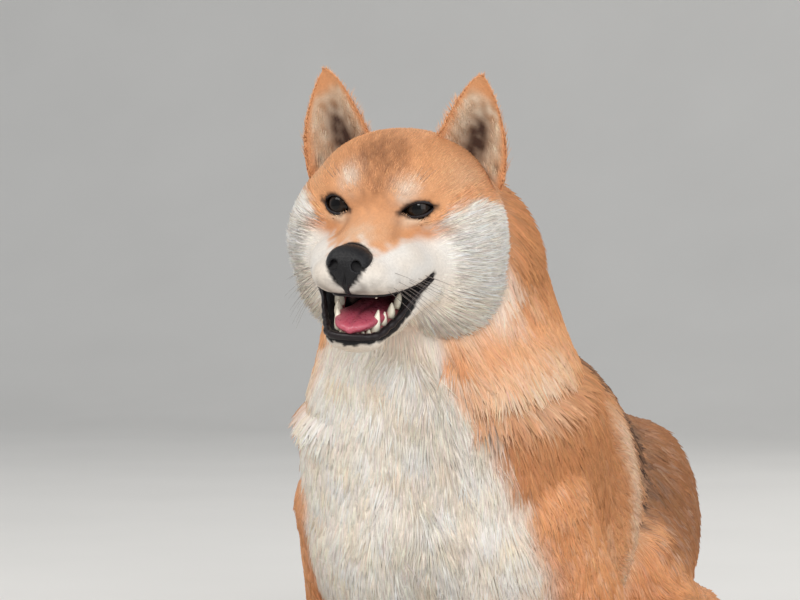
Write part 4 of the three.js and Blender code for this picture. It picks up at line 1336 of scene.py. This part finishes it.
def build_stage():
    """A pale floor that curves up behind, soft lights and the camera of the photograph's view."""
    scene = bpy.context.scene
    light = scene.shiba.light
    rise = np.linspace(0, math.pi / 2, 17)
    profile = [(-4, 0), (3.2, 0)]
    profile += [(3.2 + 1.6 * math.sin(a), 1.6 - 1.6 * math.cos(a)) for a in rise[1:]] + [(4.8, 5)]
    profile = np.array(profile) * 1000
    points = np.concatenate([np.insert(profile, 0, x, axis=1) for x in (-6000, 6000)])
    count = len(profile)
    faces = [(i, count + i, count + i + 1, i + 1) for i in range(count - 1)]
    two = srgb(216, 214, 210), srgb(224, 222, 218)
    floor = bpy.data.objects.new("floor", made_mesh("floor", points, faces))
    floor.data.materials.append(material("floor", two, (0.7, 0.8), (6, 0.0001)))
    scene.collection.objects.link(floor)
    for name, place, size, power, colour in LAMPS:
        lamp = bpy.data.objects.new(name, bpy.data.lights.new(name, "AREA"))
        lamp.data.size = size
        lamp.data.energy = power * light
        lamp.data.color = colour
        lamp.location = place
        lamp.rotation_mode = "QUATERNION"
        lamp.rotation_quaternion = (Vector((0, 0, 0.2)) - Vector(place)).to_track_quat("-Z", "Y")
        scene.collection.objects.link(lamp)
    world = bpy.data.worlds.new("sky")
    world.use_nodes = True
    world.node_tree.nodes["Background"].inputs[0].default_value = SKY
    world.node_tree.nodes["Background"].inputs[1].default_value = SKY_STRENGTH * light
    scene.world = world
    scene.view_settings.view_transform = "Standard"
    turn = math.radians(CAMERA_AZIMUTH)
    back = Vector((math.sin(turn), -math.cos(turn), 0))
    place = Vector((0.0012, -0.1645, CAMERA_HEIGHT)) + back * CAMERA_REACH
    camera = bpy.data.objects.new("camera", bpy.data.cameras.new("camera"))
    camera.data.lens = CAMERA_LENS
    camera.data.sensor_width = CAMERA_SENSOR
    camera.data.clip_start = 0.05
    camera.location = place
    look = -back
    look.z = -math.tan(math.radians(CAMERA_PITCH))
    camera.rotation_mode = "QUATERNION"
    camera.rotation_quaternion = look.to_track_quat("-Z", "Y")
    scene.collection.objects.link(camera)
    scene.camera = camera


# Add-on
def tint(name, description, colour):
    """A colour that the panel offers."""
    return bpy.props.FloatVectorProperty(
        name=name, description=description, default=tuple(colour), min=0, max=1, subtype="COLOR"
    )


class ShibaSettings(bpy.types.PropertyGroup):
    coat_thickness: bpy.props.FloatProperty(
        name="Coat thickness",
        description="Tufts on each area of skin, as a part of the full coat",
        default=1.0,
        min=0.1,
        max=1.2,
        subtype="FACTOR",
    )
    coat_length: bpy.props.FloatProperty(
        name="Coat length",
        description="Length of the tufts, as a part of the full coat's",
        default=1.0,
        min=0.3,
        max=1.5,
        subtype="FACTOR",
    )
    red_coat: tint("Red", "Colour of the head, neck and flanks", RED)
    white_coat: tint("White", "Colour of the cheeks and bib", WHITE)
    # Dark serves the saddle and ticking, and painted shade round the eyes and in the hollows of the ears.
    dark_coat_and_shade: tint("Dark", "Colour of the saddle and ticking", DARK)
    iris: tint("Iris", "Colour of the eyes", srgb(36, 24, 16))
    light: bpy.props.FloatProperty(
        name="Light", description="Strength of the studio light", default=1.0, min=0, max=4, subtype="FACTOR"
    )


class SHIBA_OT_skin(bpy.types.Operator):
    """Makes the skin with its folds and markings"""

    bl_idname = "shiba.skin"
    bl_label = "Skin"

    def execute(self, context):
        build_skin()
        return {"FINISHED"}


class SHIBA_OT_coat(bpy.types.Operator):
    """Grows the tufts of the coat on the skin"""

    bl_idname = "shiba.coat"
    bl_label = "Coat"

    def execute(self, context):
        build_coat()
        return {"FINISHED"}


class SHIBA_OT_eyes(bpy.types.Operator):
    """Makes both eyes"""

    bl_idname = "shiba.eyes"
    bl_label = "Eyes"

    def execute(self, context):
        build_eyes()
        return {"FINISHED"}


class SHIBA_OT_lids(bpy.types.Operator):
    """Makes the black rims of the lids"""

    bl_idname = "shiba.lids"
    bl_label = "Eyelids"

    def execute(self, context):
        build_lids()
        return {"FINISHED"}


class SHIBA_OT_nose(bpy.types.Operator):
    """Makes the nose pad with its nostrils"""

    bl_idname = "shiba.nose"
    bl_label = "Nose"

    def execute(self, context):
        build_nose()
        return {"FINISHED"}


class SHIBA_OT_mouth(bpy.types.Operator):
    """Makes the tongue, gums, teeth and lips"""

    bl_idname = "shiba.mouth"
    bl_label = "Mouth"

    def execute(self, context):
        build_mouth()
        return {"FINISHED"}


class SHIBA_OT_claws(bpy.types.Operator):
    """Makes the claws of all four paws"""

    bl_idname = "shiba.claws"
    bl_label = "Claws"

    def execute(self, context):
        build_claws()
        return {"FINISHED"}


class SHIBA_OT_whiskers(bpy.types.Operator):
    """Makes the whiskers and brow hairs"""

    bl_idname = "shiba.whiskers"
    bl_label = "Whiskers"

    def execute(self, context):
        build_whiskers()
        return {"FINISHED"}


class SHIBA_OT_stage(bpy.types.Operator):
    """Makes the floor, lights and camera"""

    bl_idname = "shiba.stage"
    bl_label = "Stage"

    def execute(self, context):
        build_stage()
        return {"FINISHED"}


OPERATORS = (
    SHIBA_OT_skin,
    SHIBA_OT_coat,
    SHIBA_OT_eyes,
    SHIBA_OT_lids,
    SHIBA_OT_nose,
    SHIBA_OT_mouth,
    SHIBA_OT_claws,
    SHIBA_OT_whiskers,
    SHIBA_OT_stage,
)


class SHIBA_PT_panel(bpy.types.Panel):
    bl_idname = "SHIBA_PT_panel"
    bl_label = "Shiba inu"
    bl_space_type = "VIEW_3D"
    bl_region_type = "UI"
    bl_category = "Shiba"

    def draw(self, context):
        for name in ShibaSettings.__annotations__:
            self.layout.prop(context.scene.shiba, name)
        for operator in OPERATORS:
            self.layout.operator(operator.bl_idname)


CLASSES = (ShibaSettings, *OPERATORS, SHIBA_PT_panel)


def register():
    for each in CLASSES:
        bpy.utils.register_class(each)
    bpy.types.Scene.shiba = bpy.props.PointerProperty(type=ShibaSettings)


def unregister():
    del bpy.types.Scene.shiba
    for each in reversed(CLASSES):
        bpy.utils.unregister_class(each)


def main():
    register()
    bpy.ops.shiba.skin()
    bpy.ops.shiba.coat()
    bpy.ops.shiba.eyes()
    bpy.ops.shiba.lids()
    bpy.ops.shiba.nose()
    bpy.ops.shiba.mouth()
    bpy.ops.shiba.claws()
    bpy.ops.shiba.whiskers()
    bpy.ops.shiba.stage()


if __name__ == "__main__":
    main()
